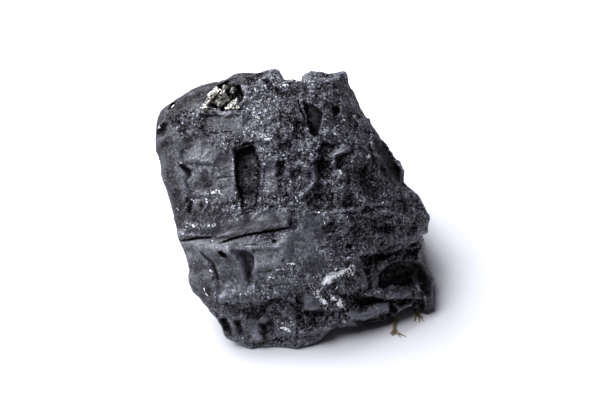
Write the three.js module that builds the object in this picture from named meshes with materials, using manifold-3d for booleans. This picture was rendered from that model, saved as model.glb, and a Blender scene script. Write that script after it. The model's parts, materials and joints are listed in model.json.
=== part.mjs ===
// A lump of coal, broken from the seam along its bedding and its cleats, with a nest of pyrite
// crystals in one corner of its broad face. It lies on a flat bedding face.
//
// Millimetres, +Z up, -Y towards the front. The origin is the bottom centre of the lump's box.
// Most corners are given in the frame of the broad broken face, which leans back: u runs to the
// right along it, v runs up it and w comes out of it. The hidden side is given upright, as x, y, z.

import * as THREE from "three";
import { ConvexGeometry } from "three/addons/geometries/ConvexGeometry.js";
import { ImprovedNoise } from "three/addons/math/ImprovedNoise.js";
import { TessellateModifier } from "three/addons/modifiers/TessellateModifier.js";
import { mergeVertices } from "three/addons/utils/BufferGeometryUtils.js";
import Module from "manifold-3d";

// ---- driving dimensions ----

const LEAN = THREE.MathUtils.degToRad(38); // the broad face's normal points this far above level
const LARGEST_EDGE = 3.6; // of a facet, before the surface is roughened
const ROUGHNESS = [
  // the fractured surface: [size of the bumps, their height]
  { size: 11, height: 0.9 },
  { size: 4.6, height: 0.55 },
];
const JOINT_GAP = 0.3; // left between the crystals and the coal round them
const WELD = 1e-3; // corners closer than this are one corner
const TABLE = { width: 200, depth: 20 }; // what lies below the resting face is cut away with this

// The lump is made of convex blocks, and each block of its corners: face: [u, v, w] in the broad
// face's frame, upright: [x, y, z].

// what the beds are joined to
const CORE = {
  face: [
    [-35.4, 54, -7], [-33.6, 58.6, -8], [-30, 63, -9], [-16, 69.2, -10], [-6, 70.8, -10],
    [12.6, 70.8, -10], [14.6, 66, -10], [21.6, 54, -11], [28.6, 42, -12.5], [34.4, 33, -14.5],
    [-30.4, 33, 0.4], [-26.4, 20, 3], [-17.6, 8.4, 2.6], [-15.2, 1.8, 1.4], [-12, -1, 0.8],
    [3, -0.8, 0.4], [8, 3.4, 1.2], [14, 8, 0.4], [33, 13, -7.6], [-20, 58, -1.6], [10, 62, -3],
    [-14, 34, 3], [10, 34, 2.4], [-15, 20, 5.6], [8, 18, 5], [20, 36, -3],
  ],
  upright: [
    [-24, 52, 37], [0, 57, 38], [10, 54, 37], [-31, 40, 36], [-29, 48, 22], [-24, 56, 9],
    [-20, 55, -2], [14, 60, 26], [26, 59, 12], [28, 54, -2], [24, 50, 28], [34, 44, 10],
    [35, 34, -1], [-14, 10, -2], [33, 24, -1], [-8, 61, 20],
  ],
};
// the top bed, which is most of the broad face
const ROOF_BED = {
  face: [
    [-36, 54, -5], [-34.6, 58.6, -6], [-30.5, 63.7, -7.5], [-25, 66.8, -8], [-16.5, 69.9, -8],
    [-6.5, 71.6, -8.5], [13.3, 71.6, -8], [15.3, 66, -8], [22.4, 54.3, -9.5], [29.6, 42, -11],
    [-33.2, 53, -0.5], [-31, 58.5, -1.5], [-24, 62.6, -1.5], [-14, 66.6, -1.5], [-8, 68, -1.5],
    [11, 69.5, -2.5], [14, 60, -1.5], [22.5, 46, -4.5], [-8, 58, 2.6], [4, 56, 2.4],
    [-30.6, 32, 2], [-29.8, 28.4, 2.6], [-15, 28.2, 5.2], [-5, 29.8, 5.9], [-1, 31, 5.8],
    [0, 35.6, 5.8], [10, 34, 4.6], [20, 32, 1.5],
  ],
  upright: [[-32.4, 38, 33], [-24, 50, 32], [8, 52, 36], [22, 44, 30], [-29.6, 36, 22]],
};
// the granular slope at the right, with an overhang below it
const SHOULDER_BED = {
  face: [
    [28, 43, -10.5], [34.6, 37.3, -12.5], [36.8, 33, -13], [36, 28.8, -12], [24, 42, -5],
    [30, 32, -6], [34, 29.5, -8.5], [20, 23.8, 0.5], [14.5, 22, 3], [2, 30, 5.4], [2, 36, 5.4],
    [12, 34, 4.8], [20, 38, 0.8],
  ],
  upright: [[25, 46, 30], [33, 46, 16], [16, 54, 28], [10, 50, 12]],
};
// the smooth band below the roof bed's parting
const MIDDLE_BED = {
  face: [
    [-30.2, 29, 1], [-29, 27, 2.8], [-26.6, 21.2, 4.2], [-20, 14.6, 6], [-17.8, 11.8, 6.2],
    [-7, 11.4, 6.8], [0, 17, 7.8], [8, 18.6, 7], [13, 20.6, 5], [17, 24, 2.6], [2, 31.5, 5.6],
    [-12, 28.6, 5.4], [-4, 25.6, 7.8], [-20, 25, 6.2],
  ],
  upright: [[-28, 42, 22], [22, 54, 10], [-25, 44, 10], [20, 52, 24]],
};
// the rounded front, between the middle bed and the niche
const FRONT_BED = {
  face: [
    [-2, 22, 6.8], [9, 20.4, 6.4], [13.6, 14.4, 4.8], [12, 7.4, 1.4], [18.6, 9, -2.4],
    [19.4, 16, 0.6], [18, 23.6, 1.8], [-4, 14, 6.4], [3, 9, 4],
  ],
  upright: [[18, 40, 20], [24, 36, 2], [-6, 36, 4]],
};
// the bed that the lump lies on
const FLOOR_BED = {
  face: [
    [-26, 20.4, 3.4], [-26.4, 16.6, 4], [-23.2, 11.4, 4], [-18.4, 8.4, 3.4], [-17, 4.6, 2.8],
    [-15.6, 1.8, 1.8], [-12, -1, 1.6], [-22, 19.4, 5.4], [-20.6, 12.6, 5.6], [-6, 10, 4.8],
    [3, -0.8, 1.2], [9, 2.8, 2.2], [13.8, 6.4, 1.6], [22, 8.8, -1.6], [34, 11.4, -6.6],
    [20, 13.4, 0.5], [33.8, 13.8, -7],
  ],
  upright: [[30, 52, -2], [-20, 48, -2], [31, 24, -1], [-13, 10, -2], [-23.5, 44, 9], [28, 54, 10]],
};
// the lower part of the back
const BACK_BED = {
  upright: [
    [33.8, 34, -1], [33.2, 31, 8], [30, 33, 12.6], [31, 58.4, 8], [33, 46, 11],
    [27, 59, 17], [28, 58, -2], [0, 60.6, 3], [-4, 62, 14], [6, 50, 20],
  ],
};

const BEDS = [CORE, ROOF_BED, SHOULDER_BED, MIDDLE_BED, FRONT_BED, FLOOR_BED, BACK_BED];

// What has broken away. Each is a convex chip, in the face frame.
const CHIPS = [
  // the long slot: a steep wall on its left, and a floor that rises to the right
  [
    [-15.2, 51, 9], [-9.6, 53, 9], [-14.6, 50.6, -2], [-9.8, 52, 0.6], [-15, 38, 9],
    [-8.4, 38, 9], [-14.4, 38.6, -0.8], [-9.4, 39, 2.6], [-12, 32.4, 9], [-11.4, 33.6, 4],
  ],
  // the small notch at the upper right
  [
    [2.4, 63.6, 6], [7.6, 60.8, 6], [4.8, 53.8, 6], [7.6, 54, 6], [3.2, 62.8, -2.6],
    [5.8, 54.8, -2.8],
  ],
  // the bite out of the top edge
  [
    [-4.4, 73, -16], [5.4, 73, -16], [-2.2, 69.4, -15], [3.2, 69.2, -15], [-4.4, 73, 2],
    [5.4, 73, 2], [-2.4, 68.4, 2], [3.6, 68.2, 2],
  ],
  // the shell-shaped groove down the middle bed
  [
    [-15.6, 26, 9], [-9.8, 24.4, 9], [-9.8, 15, 9], [-12.6, 15.2, 9], [-12.6, 24.4, 5],
    [-10.2, 22.6, 4.6], [-10.4, 16.6, 4.8],
  ],
  // the hollow under the middle bed's ledge
  [
    [-16, 11.2, 9], [-6.6, 10.8, 9], [-7, 5.6, 9], [-15, 5, 9], [-14.8, 10.6, 2.2],
    [-7.4, 10.2, 2], [-8.4, 7, 2.8],
  ],
  // the niche under the shoulder, at the lower right
  [
    [21, 19.4, 8], [21, 13.6, 8], [28, 23.6, 8], [38, 28.6, 6], [38, 14.4, 6], [22.4, 17.6, -7],
    [22.4, 14.2, -7.6], [28, 22, -11], [38, 27.4, -16], [38, 15, -16.4],
  ],
  // the gap between the floor bed's two strips
  [
    [24.6, 11.6, 2], [38, 12.4, 2], [38, 10.2, -12], [25.4, 9.8, -6.4], [25, 10.8, -8],
    [37, 11.6, -13],
  ],
];

// The low lobe at the right, which stands past the niche.
const LOBE = {
  upright: [
    [36.6, 13, 1.2], [36, 12.6, 5], [35.4, 11, -1], [37.2, 27, 1], [37.2, 21.6, 4.6],
    [35.4, 21.6, 7.2], [33, 15, 5.4], [31, 14, -1], [32, 32, 6], [33, 36, -1], [36, 29, -1.5],
    [30, 26, 7.6],
  ],
};

// The nest of crystals, in the face frame: middle, edges, and turns in degrees.
const CRYSTALS = [
  { at: [-20.6, 62.6, -3.1], edges: [3.4, 3, 3.2], turns: [20, 34, 12] },
  { at: [-18.2, 64, -2.9], edges: [3.2, 3.4, 3], turns: [-28, 16, 38] },
  { at: [-21.2, 64.6, -3.7], edges: [2.6, 2.4, 2.8], turns: [42, -18, 24] },
  { at: [-16.8, 61.8, -3.1], edges: [3.2, 2.2, 3], turns: [12, 40, -20] },
  { at: [-15, 63, -3.3], edges: [2.8, 2.2, 2.6], turns: [34, 10, 50] },
  { at: [-18.6, 61.6, -2.8], edges: [2.4, 2.4, 2.4], turns: [45, 35, 0] },
  { at: [-17.6, 66.4, -3.9], edges: [2.2, 2.4, 2.6], turns: [-16, 30, 18] },
  { at: [-19.6, 66, -4.3], edges: [2, 2.2, 2.2], turns: [30, 26, -34] },
];

const noise = new ImprovedNoise();
const wasm = await Module();
wasm.setup();

// ---- from three.js geometry to solids and back ----

function solidOf(geometry) {
  const bare = geometry.clone();
  bare.deleteAttribute("normal");
  bare.deleteAttribute("uv");
  const merged = mergeVertices(bare, WELD);
  return new wasm.Manifold(
    new wasm.Mesh({
      numProp: 3,
      vertProperties: merged.attributes.position.array,
      triVerts: new Uint32Array(merged.index.array),
    }),
  );
}

function geometryOf(solid) {
  const { vertProperties, triVerts } = solid.getMesh();
  return new THREE.BufferGeometry()
    .setAttribute("position", new THREE.BufferAttribute(vertProperties, 3))
    .setIndex(new THREE.BufferAttribute(triVerts, 1));
}

// ---- places ----

// A point of the broad face's frame, as an upright point.
function onFace([u, v, w]) {
  return new THREE.Vector3(u, v, w).applyAxisAngle(new THREE.Vector3(1, 0, 0), Math.PI / 2 - LEAN);
}

function corner(position, i) {
  return new THREE.Vector3().fromBufferAttribute(position, i);
}

function block({ face = [], upright = [] }) {
  const corners = [...face.map(onFace), ...upright.map((p) => new THREE.Vector3(...p))];
  return solidOf(new ConvexGeometry(corners));
}

// ---- the fractured surface ----

function roughened(geometry) {
  const fine = new TessellateModifier(LARGEST_EDGE, 12).modify(geometry.toNonIndexed());
  fine.deleteAttribute("normal");
  const rough = mergeVertices(fine, WELD);
  rough.computeVertexNormals();
  const { position, normal } = rough.attributes;
  for (let i = 0; i < position.count; i++) {
    const at = corner(position, i);
    const out = corner(normal, i);
    const rise = ROUGHNESS.reduce(
      (sum, { size, height }) => sum + height * noise.noise(at.x / size, at.y / size, at.z / size),
      0,
    );
    at.addScaledVector(out, rise);
    position.setXYZ(i, at.x, at.y, at.z);
  }
  rough.deleteAttribute("normal");
  return rough;
}

function coalSolid() {
  const whole = BEDS.map(block).reduce((sum, bed) => sum.add(bed));
  const chips = CHIPS.map((chip) => block({ face: chip }));
  const chipped = chips.reduce((left, chip) => left.subtract(chip), whole);
  const rough = solidOf(roughened(geometryOf(chipped.add(block(LOBE)))));
  const { width, depth } = TABLE;
  const table = new THREE.BoxGeometry(width, width, depth).translate(0, 0, -depth / 2);
  return rough.subtract(solidOf(table));
}

// ---- the crystals ----

function crystal({ at, edges, turns }) {
  const [x, y, z] = turns.map(THREE.MathUtils.degToRad);
  const upright = onFace(at);
  return new THREE.BoxGeometry(...edges)
    .rotateX(x)
    .rotateY(y)
    .rotateZ(z)
    .translate(upright.x, upright.y, upright.z);
}

// The hollow the nest sits in: its own hull, wider by the gap all round.
function pocketOf(crystals) {
  const corners = crystals.flatMap(({ attributes }) => {
    const { position } = attributes;
    return Array.from({ length: position.count }, (_, i) => corner(position, i));
  });
  const sides = [-JOINT_GAP, JOINT_GAP];
  const wider = corners.flatMap((p) =>
    sides.flatMap((x) =>
      sides.flatMap((y) => sides.map((z) => p.clone().add(new THREE.Vector3(x, y, z)))),
    ),
  );
  return solidOf(new ConvexGeometry(wider));
}

const crystals = CRYSTALS.map(crystal);
const nest = crystals.map(solidOf).reduce((sum, one) => sum.add(one));

const coal = new THREE.Mesh(
  geometryOf(coalSolid().subtract(pocketOf(crystals))),
  new THREE.MeshStandardMaterial({ color: 0x1d1d21, roughness: 0.55, metalness: 0 }),
);
coal.name = "coal_lump";

const pyrite = new THREE.Mesh(
  geometryOf(nest),
  new THREE.MeshStandardMaterial({ color: 0xc9bf96, roughness: 0.3, metalness: 1 }),
);
pyrite.name = "pyrite_nest";

const lump = new THREE.Group();
lump.add(coal, pyrite);
const box = new THREE.Box3().setFromObject(lump);
lump.position.set(-(box.min.x + box.max.x) / 2, -(box.min.y + box.max.y) / 2, -box.min.z);

export default new THREE.Group().add(lump);
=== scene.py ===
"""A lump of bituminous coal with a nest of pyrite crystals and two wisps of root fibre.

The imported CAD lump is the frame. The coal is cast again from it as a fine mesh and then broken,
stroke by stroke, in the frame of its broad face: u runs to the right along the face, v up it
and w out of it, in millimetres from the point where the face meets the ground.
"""

import json
import logging
import math
from dataclasses import dataclass
from enum import Enum
from itertools import product
from typing import Any, Sequence

import bpy
import numpy as np
from mathutils import Euler, Matrix, Vector

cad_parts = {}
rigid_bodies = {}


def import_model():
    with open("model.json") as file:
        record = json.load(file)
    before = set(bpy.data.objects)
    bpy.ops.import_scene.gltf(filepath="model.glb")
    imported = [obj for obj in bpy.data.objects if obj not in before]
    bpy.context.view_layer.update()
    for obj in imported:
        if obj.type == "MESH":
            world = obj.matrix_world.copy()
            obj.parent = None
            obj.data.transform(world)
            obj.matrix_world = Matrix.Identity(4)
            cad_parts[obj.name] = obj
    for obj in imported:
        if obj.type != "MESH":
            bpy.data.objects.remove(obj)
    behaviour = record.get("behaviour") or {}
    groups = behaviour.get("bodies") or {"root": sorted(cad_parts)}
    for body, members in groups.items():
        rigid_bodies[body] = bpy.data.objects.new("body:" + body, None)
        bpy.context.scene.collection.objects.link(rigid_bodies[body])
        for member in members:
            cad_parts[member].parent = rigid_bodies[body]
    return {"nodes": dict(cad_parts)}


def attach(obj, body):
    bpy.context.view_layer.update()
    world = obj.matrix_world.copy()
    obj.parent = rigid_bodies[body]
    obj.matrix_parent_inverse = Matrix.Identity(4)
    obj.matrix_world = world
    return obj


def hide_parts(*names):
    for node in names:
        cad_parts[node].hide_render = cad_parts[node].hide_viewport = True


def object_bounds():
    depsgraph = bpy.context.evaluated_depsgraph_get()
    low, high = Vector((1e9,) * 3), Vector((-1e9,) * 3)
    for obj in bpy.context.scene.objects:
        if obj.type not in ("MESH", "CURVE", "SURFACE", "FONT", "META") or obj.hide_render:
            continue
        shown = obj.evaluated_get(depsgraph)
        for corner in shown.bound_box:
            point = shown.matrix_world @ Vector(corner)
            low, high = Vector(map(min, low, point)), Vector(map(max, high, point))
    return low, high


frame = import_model()
CAD_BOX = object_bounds()

log = logging.getLogger("coal")

MM = 0.001
COAL_NODE = "coal_lump"
NEST_NODE = "pyrite_nest"

# the primes and the word that the random numbers are stirred with
AXIS_PRIMES = (73856093, 19349663, 83492791)
SEED_PRIME, FIRST_PRIME, SECOND_PRIME = 2654435761, 2246822519, 3266489917
WORD = 0xFFFFFFFF

# farther than any point is from anything, and shorter than any length
FAR = 1e9
TINY = 1e-9

Array = np.ndarray
Material = bpy.types.Material
Piece = bpy.types.Object
Node = bpy.types.Node
Tree = bpy.types.NodeTree
Socket = bpy.types.NodeSocket
Point2 = tuple[float, float]
Point3 = tuple[float, float, float]


class Layer(Enum):
    """What a mesh keeps at each of its points for its finish to read."""

    GRAIN = "grain"
    RELIEF = "relief"
    CALCITE_AND_PAINTED_GLINTS = "calcite_and_painted_glint"
    TONE = "tone"
    HOLLOW = "hollow"


# ---- small helpers ----


def linear(hex_colour: str) -> tuple[float, float, float, float]:
    """Turns an sRGB hex colour into linear RGBA.

    Args:
        hex_colour: Six hex digits, such as "1d1d21".

    Returns:
        Red, green, blue and an alpha of one.
    """
    parts = [int(hex_colour[i : i + 2], 16) / 255 for i in (0, 2, 4)]
    channels = [c / 12.92 if c <= 0.04045 else ((c + 0.055) / 1.055) ** 2.4 for c in parts]
    return (channels[0], channels[1], channels[2], 1.0)


def step(low: float, high: float, x: Array) -> Array:
    """Rises smoothly from 0 at low to 1 at high.

    Args:
        low: Where the rise starts.
        high: Where it ends.
        x: The values.

    Returns:
        The share risen, for each value.
    """
    t = np.clip((x - low) / (high - low), 0, 1)
    return t * t * (3 - 2 * t)


def only(obj: Piece) -> None:
    """Selects obj alone and makes it active.

    Args:
        obj: The object that the next operators act on.
    """
    bpy.ops.object.select_all(action="DESELECT")
    obj.select_set(True)
    bpy.context.view_layer.objects.active = obj


def finish_with(obj: Piece, kind: str, **settings: Any) -> None:
    """Adds a modifier and applies it.

    Args:
        obj: The object to change.
        kind: The modifier's type.
        **settings: Its settings.
    """
    only(obj)
    modifier = obj.modifiers.new(kind.title(), kind)
    for name, value in settings.items():
        setattr(modifier, name, value)
    bpy.ops.object.modifier_apply(modifier=modifier.name)


def weld(obj: Piece, within: float) -> None:
    """Merges the points of a mesh that lie on each other and turns its faces outwards.

    Args:
        obj: The object to change.
        within: How close two points lie to be one, in mm.
    """
    only(obj)
    bpy.ops.object.mode_set(mode="EDIT")
    bpy.ops.mesh.select_all(action="SELECT")
    bpy.ops.mesh.remove_doubles(threshold=within * MM)
    bpy.ops.mesh.normals_make_consistent(inside=False)
    bpy.ops.object.mode_set(mode="OBJECT")


def drop_loose(obj: Piece) -> None:
    """Deletes every shell of a mesh but the one that holds its highest point.

    Args:
        obj: The object to change.
    """
    top = max(obj.data.vertices, key=lambda vertex: vertex.co.z).index
    only(obj)
    bpy.ops.object.mode_set(mode="EDIT")
    bpy.ops.mesh.select_mode(type="VERT")
    bpy.ops.mesh.select_all(action="DESELECT")
    bpy.ops.object.mode_set(mode="OBJECT")
    obj.data.vertices[top].select = True
    bpy.ops.object.mode_set(mode="EDIT")
    bpy.ops.mesh.select_linked()
    bpy.ops.mesh.select_all(action="INVERT")
    bpy.ops.mesh.delete(type="VERT")
    bpy.ops.object.mode_set(mode="OBJECT")


def smooth_shade(obj: Piece, angle: float) -> None:
    """Shades obj smooth, but for edges sharper than angle, in degrees."""
    only(obj)
    bpy.ops.object.shade_smooth_by_angle(angle=math.radians(angle))


def keep(obj: Piece, layer: Layer, values: Array) -> None:
    """Stores a value at each point of a mesh, for its finish to read."""
    stored = obj.data.attributes.new(layer.value, "FLOAT", "POINT")
    stored.data.foreach_set("value", values.astype(np.float32))


def triangles(obj: Piece) -> int:
    """How many triangles a mesh has once its faces are split."""
    return sum(len(face.vertices) - 2 for face in obj.data.polygons)


# ---- the broad face's frame ----


@dataclass(frozen=True)
class FaceFrame:
    """The frame of the broad face, which leans back, against the upright row frame.

    Attributes:
        foot: Where the face meets the ground, from the low corner of the CAD box, in mm.
        lean: How far the face's normal points above level, in degrees.
    """

    foot: Point2 = (35.98, 1.832)
    lean: float = 38.0

    def origin(self) -> Array:
        """The foot in the row frame, in mm."""
        low = np.array(CAD_BOX[0]) / MM
        return np.array([low[0] + self.foot[0], low[1] + self.foot[1], 0.0])

    def axes(self) -> Array:
        """The directions of u, v and w in the row frame, one per row."""
        c, s = math.cos(math.radians(self.lean)), math.sin(math.radians(self.lean))
        return np.array([[1, 0, 0], [0, s, c], [0, -c, s]], float)

    def turn(self) -> Matrix:
        """The turn from the row frame's axes to the face's own."""
        return Matrix(self.axes().tolist()).transposed().to_4x4()

    def to_row(self, points: Array) -> Array:
        """Face frame points, in mm, as row frame points, in metres."""
        return (np.asarray(points, float) @ self.axes() + self.origin()) * MM

    def to_face(self, points: Array) -> Array:
        """Row frame points, in metres, as face frame points, in mm."""
        return (np.asarray(points, float) / MM - self.origin()) @ self.axes().T

    def vector(self, u: float, v: float, w: float) -> Vector:
        """One face frame point, in mm, as a row frame vector, in metres."""
        return Vector(self.to_row(np.array([[u, v, w]]))[0])


FACE = FaceFrame()


# ---- solid patterns ----


def lattice(cells: Array, seed: int) -> Array:
    """A random number for each cell of a cubic lattice, from a hash of its place.

    Args:
        cells: Whole-number cell coordinates, with the three axes last.
        seed: Which set of numbers.

    Returns:
        A number from 0 to 1 for each cell.
    """
    c = cells.astype(np.int64) * np.array(AXIS_PRIMES)
    h = (c[..., 0] ^ c[..., 1] ^ c[..., 2] ^ (seed * SEED_PRIME)) & WORD
    h = ((h ^ (h >> 15)) * FIRST_PRIME) & WORD
    h = ((h ^ (h >> 13)) * SECOND_PRIME) & WORD
    h = h ^ (h >> 16)
    return h / (WORD + 1.0)


def cloud(points: Array, size: float, seed: int, octaves: int = 1) -> Array:
    """Smooth solid noise.

    Args:
        points: Where, in mm.
        size: The width of its largest lumps, in mm.
        seed: Which noise.
        octaves: How many halvings of the size are added up.

    Returns:
        A value from about -1 to 1 for each point.
    """
    gain, apart = 1.4, 17.3
    total, reach, share = np.zeros(len(points)), 0.0, 1.0
    for k in range(octaves):
        p = points * (2**k / size) + apart * k
        base = np.floor(p)
        f = p - base
        f = f * f * (3 - 2 * f)
        value = np.zeros(len(p))
        for z, y, x in product((0, 1), repeat=3):
            corner = np.array([x, y, z])
            weight = np.prod(np.where(corner, f, 1 - f), axis=1)
            value += weight * lattice(base + corner, seed + k)
        total += share * (2 * value - 1)
        reach += share
        share *= 0.5
    return total / reach * gain


def drift(points: Array, size: float, seeds: tuple[int, int], octaves: int = 1) -> Array:
    """How far a line strays in u and v, as a share of its largest stray.

    Args:
        points: Where, in mm.
        size: The width of the line's largest bends, in mm.
        seeds: Which noise, for u and for v.
        octaves: How many halvings of the size are added up.

    Returns:
        The two shares for each point.
    """
    return np.stack([cloud(points, size, seed, octaves) for seed in seeds], axis=1)


@dataclass
class Cells:
    """What a point sees of the broken cell that it is in.

    Attributes:
        depth: Distance to the middle of the cell, as a share of the cell size.
        tilt: Height of the cell's own slanted face at the point, from about -0.5 to 0.5.
        middle: The middle of the cell, in mm.
    """

    depth: Array
    tilt: Array
    middle: Array


def broken(points: Array, size: float, seed: int) -> Cells:
    """Divides space into uneven cells, as a fractured solid is.

    Args:
        points: Where, in mm.
        size: The usual width of a cell, in mm.
        seed: Which division.

    Returns:
        The cells' values at each point.
    """
    squash = 0.9
    p = points / size
    base = np.floor(p)
    found = Cells(np.full(len(p), FAR), np.zeros(len(p)), np.zeros((len(p), 3)))
    for z, y, x in product((-1, 0, 1), repeat=3):
        cell = base + np.array([x, y, z])
        middle = cell + np.stack([lattice(cell, seed + a) for a in range(3)], axis=1)
        lean = np.stack([lattice(cell, seed + 3 + a) for a in range(3)], axis=1) * 2 - 1
        gap = p - middle
        along = np.einsum("ij,ij->i", gap, lean)
        depth = np.sqrt(np.einsum("ij,ij->i", gap, gap) + squash * along**2)
        nearer = depth < found.depth
        found.depth = np.where(nearer, depth, found.depth)
        found.tilt = np.where(nearer, along, found.tilt)
        found.middle = np.where(nearer[:, None], middle, found.middle)
    found.middle *= size
    return found


@dataclass(frozen=True)
class Grain:
    """One size of broken grain.

    Attributes:
        size: The usual width of a grain, in mm.
        depth: Of the hollow that each leaves, in mm.
        slant: How far its face is tilted, in mm.
        seed: Which grains.
        usual: The squared depth in a cell that leaves the surface where it was.
    """

    size: float
    depth: float
    slant: float
    seed: int
    usual: float = 0.45

    def lift(self, points: Array) -> Array:
        """How far the grain lifts the surface at each point, in mm."""
        cells = broken(points, self.size, self.seed)
        return (cells.depth**2 - self.usual) * self.depth + cells.tilt * self.slant


# ---- finishes ----

MATH = "ShaderNodeMath"
MAP = "ShaderNodeMapRange"
MIX = "ShaderNodeMix"
NOISE = "ShaderNodeTexNoise"
VECTOR = "ShaderNodeVectorMath"


def add(tree: Tree, kind: str, inputs: dict[Any, Any] | None = None, **settings: Any) -> Node:
    """Adds a node with its settings and links.

    Args:
        tree: The material's or the world's tree.
        kind: The node's type.
        inputs: For each input, by name or number, a value, a socket to link, or a node to link by
            its first output.
        **settings: The node's own settings.

    Returns:
        The node.
    """
    node = tree.nodes.new(kind)
    for name, value in settings.items():
        setattr(node, name, value)
    for name, value in (inputs or {}).items():
        if isinstance(value, Node):
            value = value.outputs[0]
        if isinstance(value, Socket):
            tree.links.new(value, node.inputs[name])
        else:
            node.inputs[name].default_value = value
    return node


def blank(name: str) -> Material:
    """Makes a node material with no nodes in it.

    Args:
        name: Its name.

    Returns:
        The material.
    """
    material = bpy.data.materials.new(name)
    material.use_nodes = True
    material.node_tree.nodes.clear()
    return material


@dataclass
class CoalReading:
    """What the coal's finish reads at each point.

    Attributes:
        place: The point, in the lump's own frame.
        grain: From 0 on a cleavage face to 1 in the broken grain.
        relief: From 0 in a hollow, painted shade, to 1 on an edge, painted highlight.
        calcite_and_painted_glint: How much white calcite and painted glint lies there, from 0 to 1.
        tone: Under 0.5 where painted shade darkens the coal, over 0.5 where a painted highlight lightens
            it, and in places the coal's own darker and paler zones.
        flake: A random colour for each flake.
        chip: Three random numbers for each chip, which is smaller than a flake.
    """

    place: Socket
    grain: Socket
    relief: Socket
    calcite_and_painted_glint: Socket
    tone: Socket
    flake: Socket
    chip: Sequence[Socket]


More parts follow.
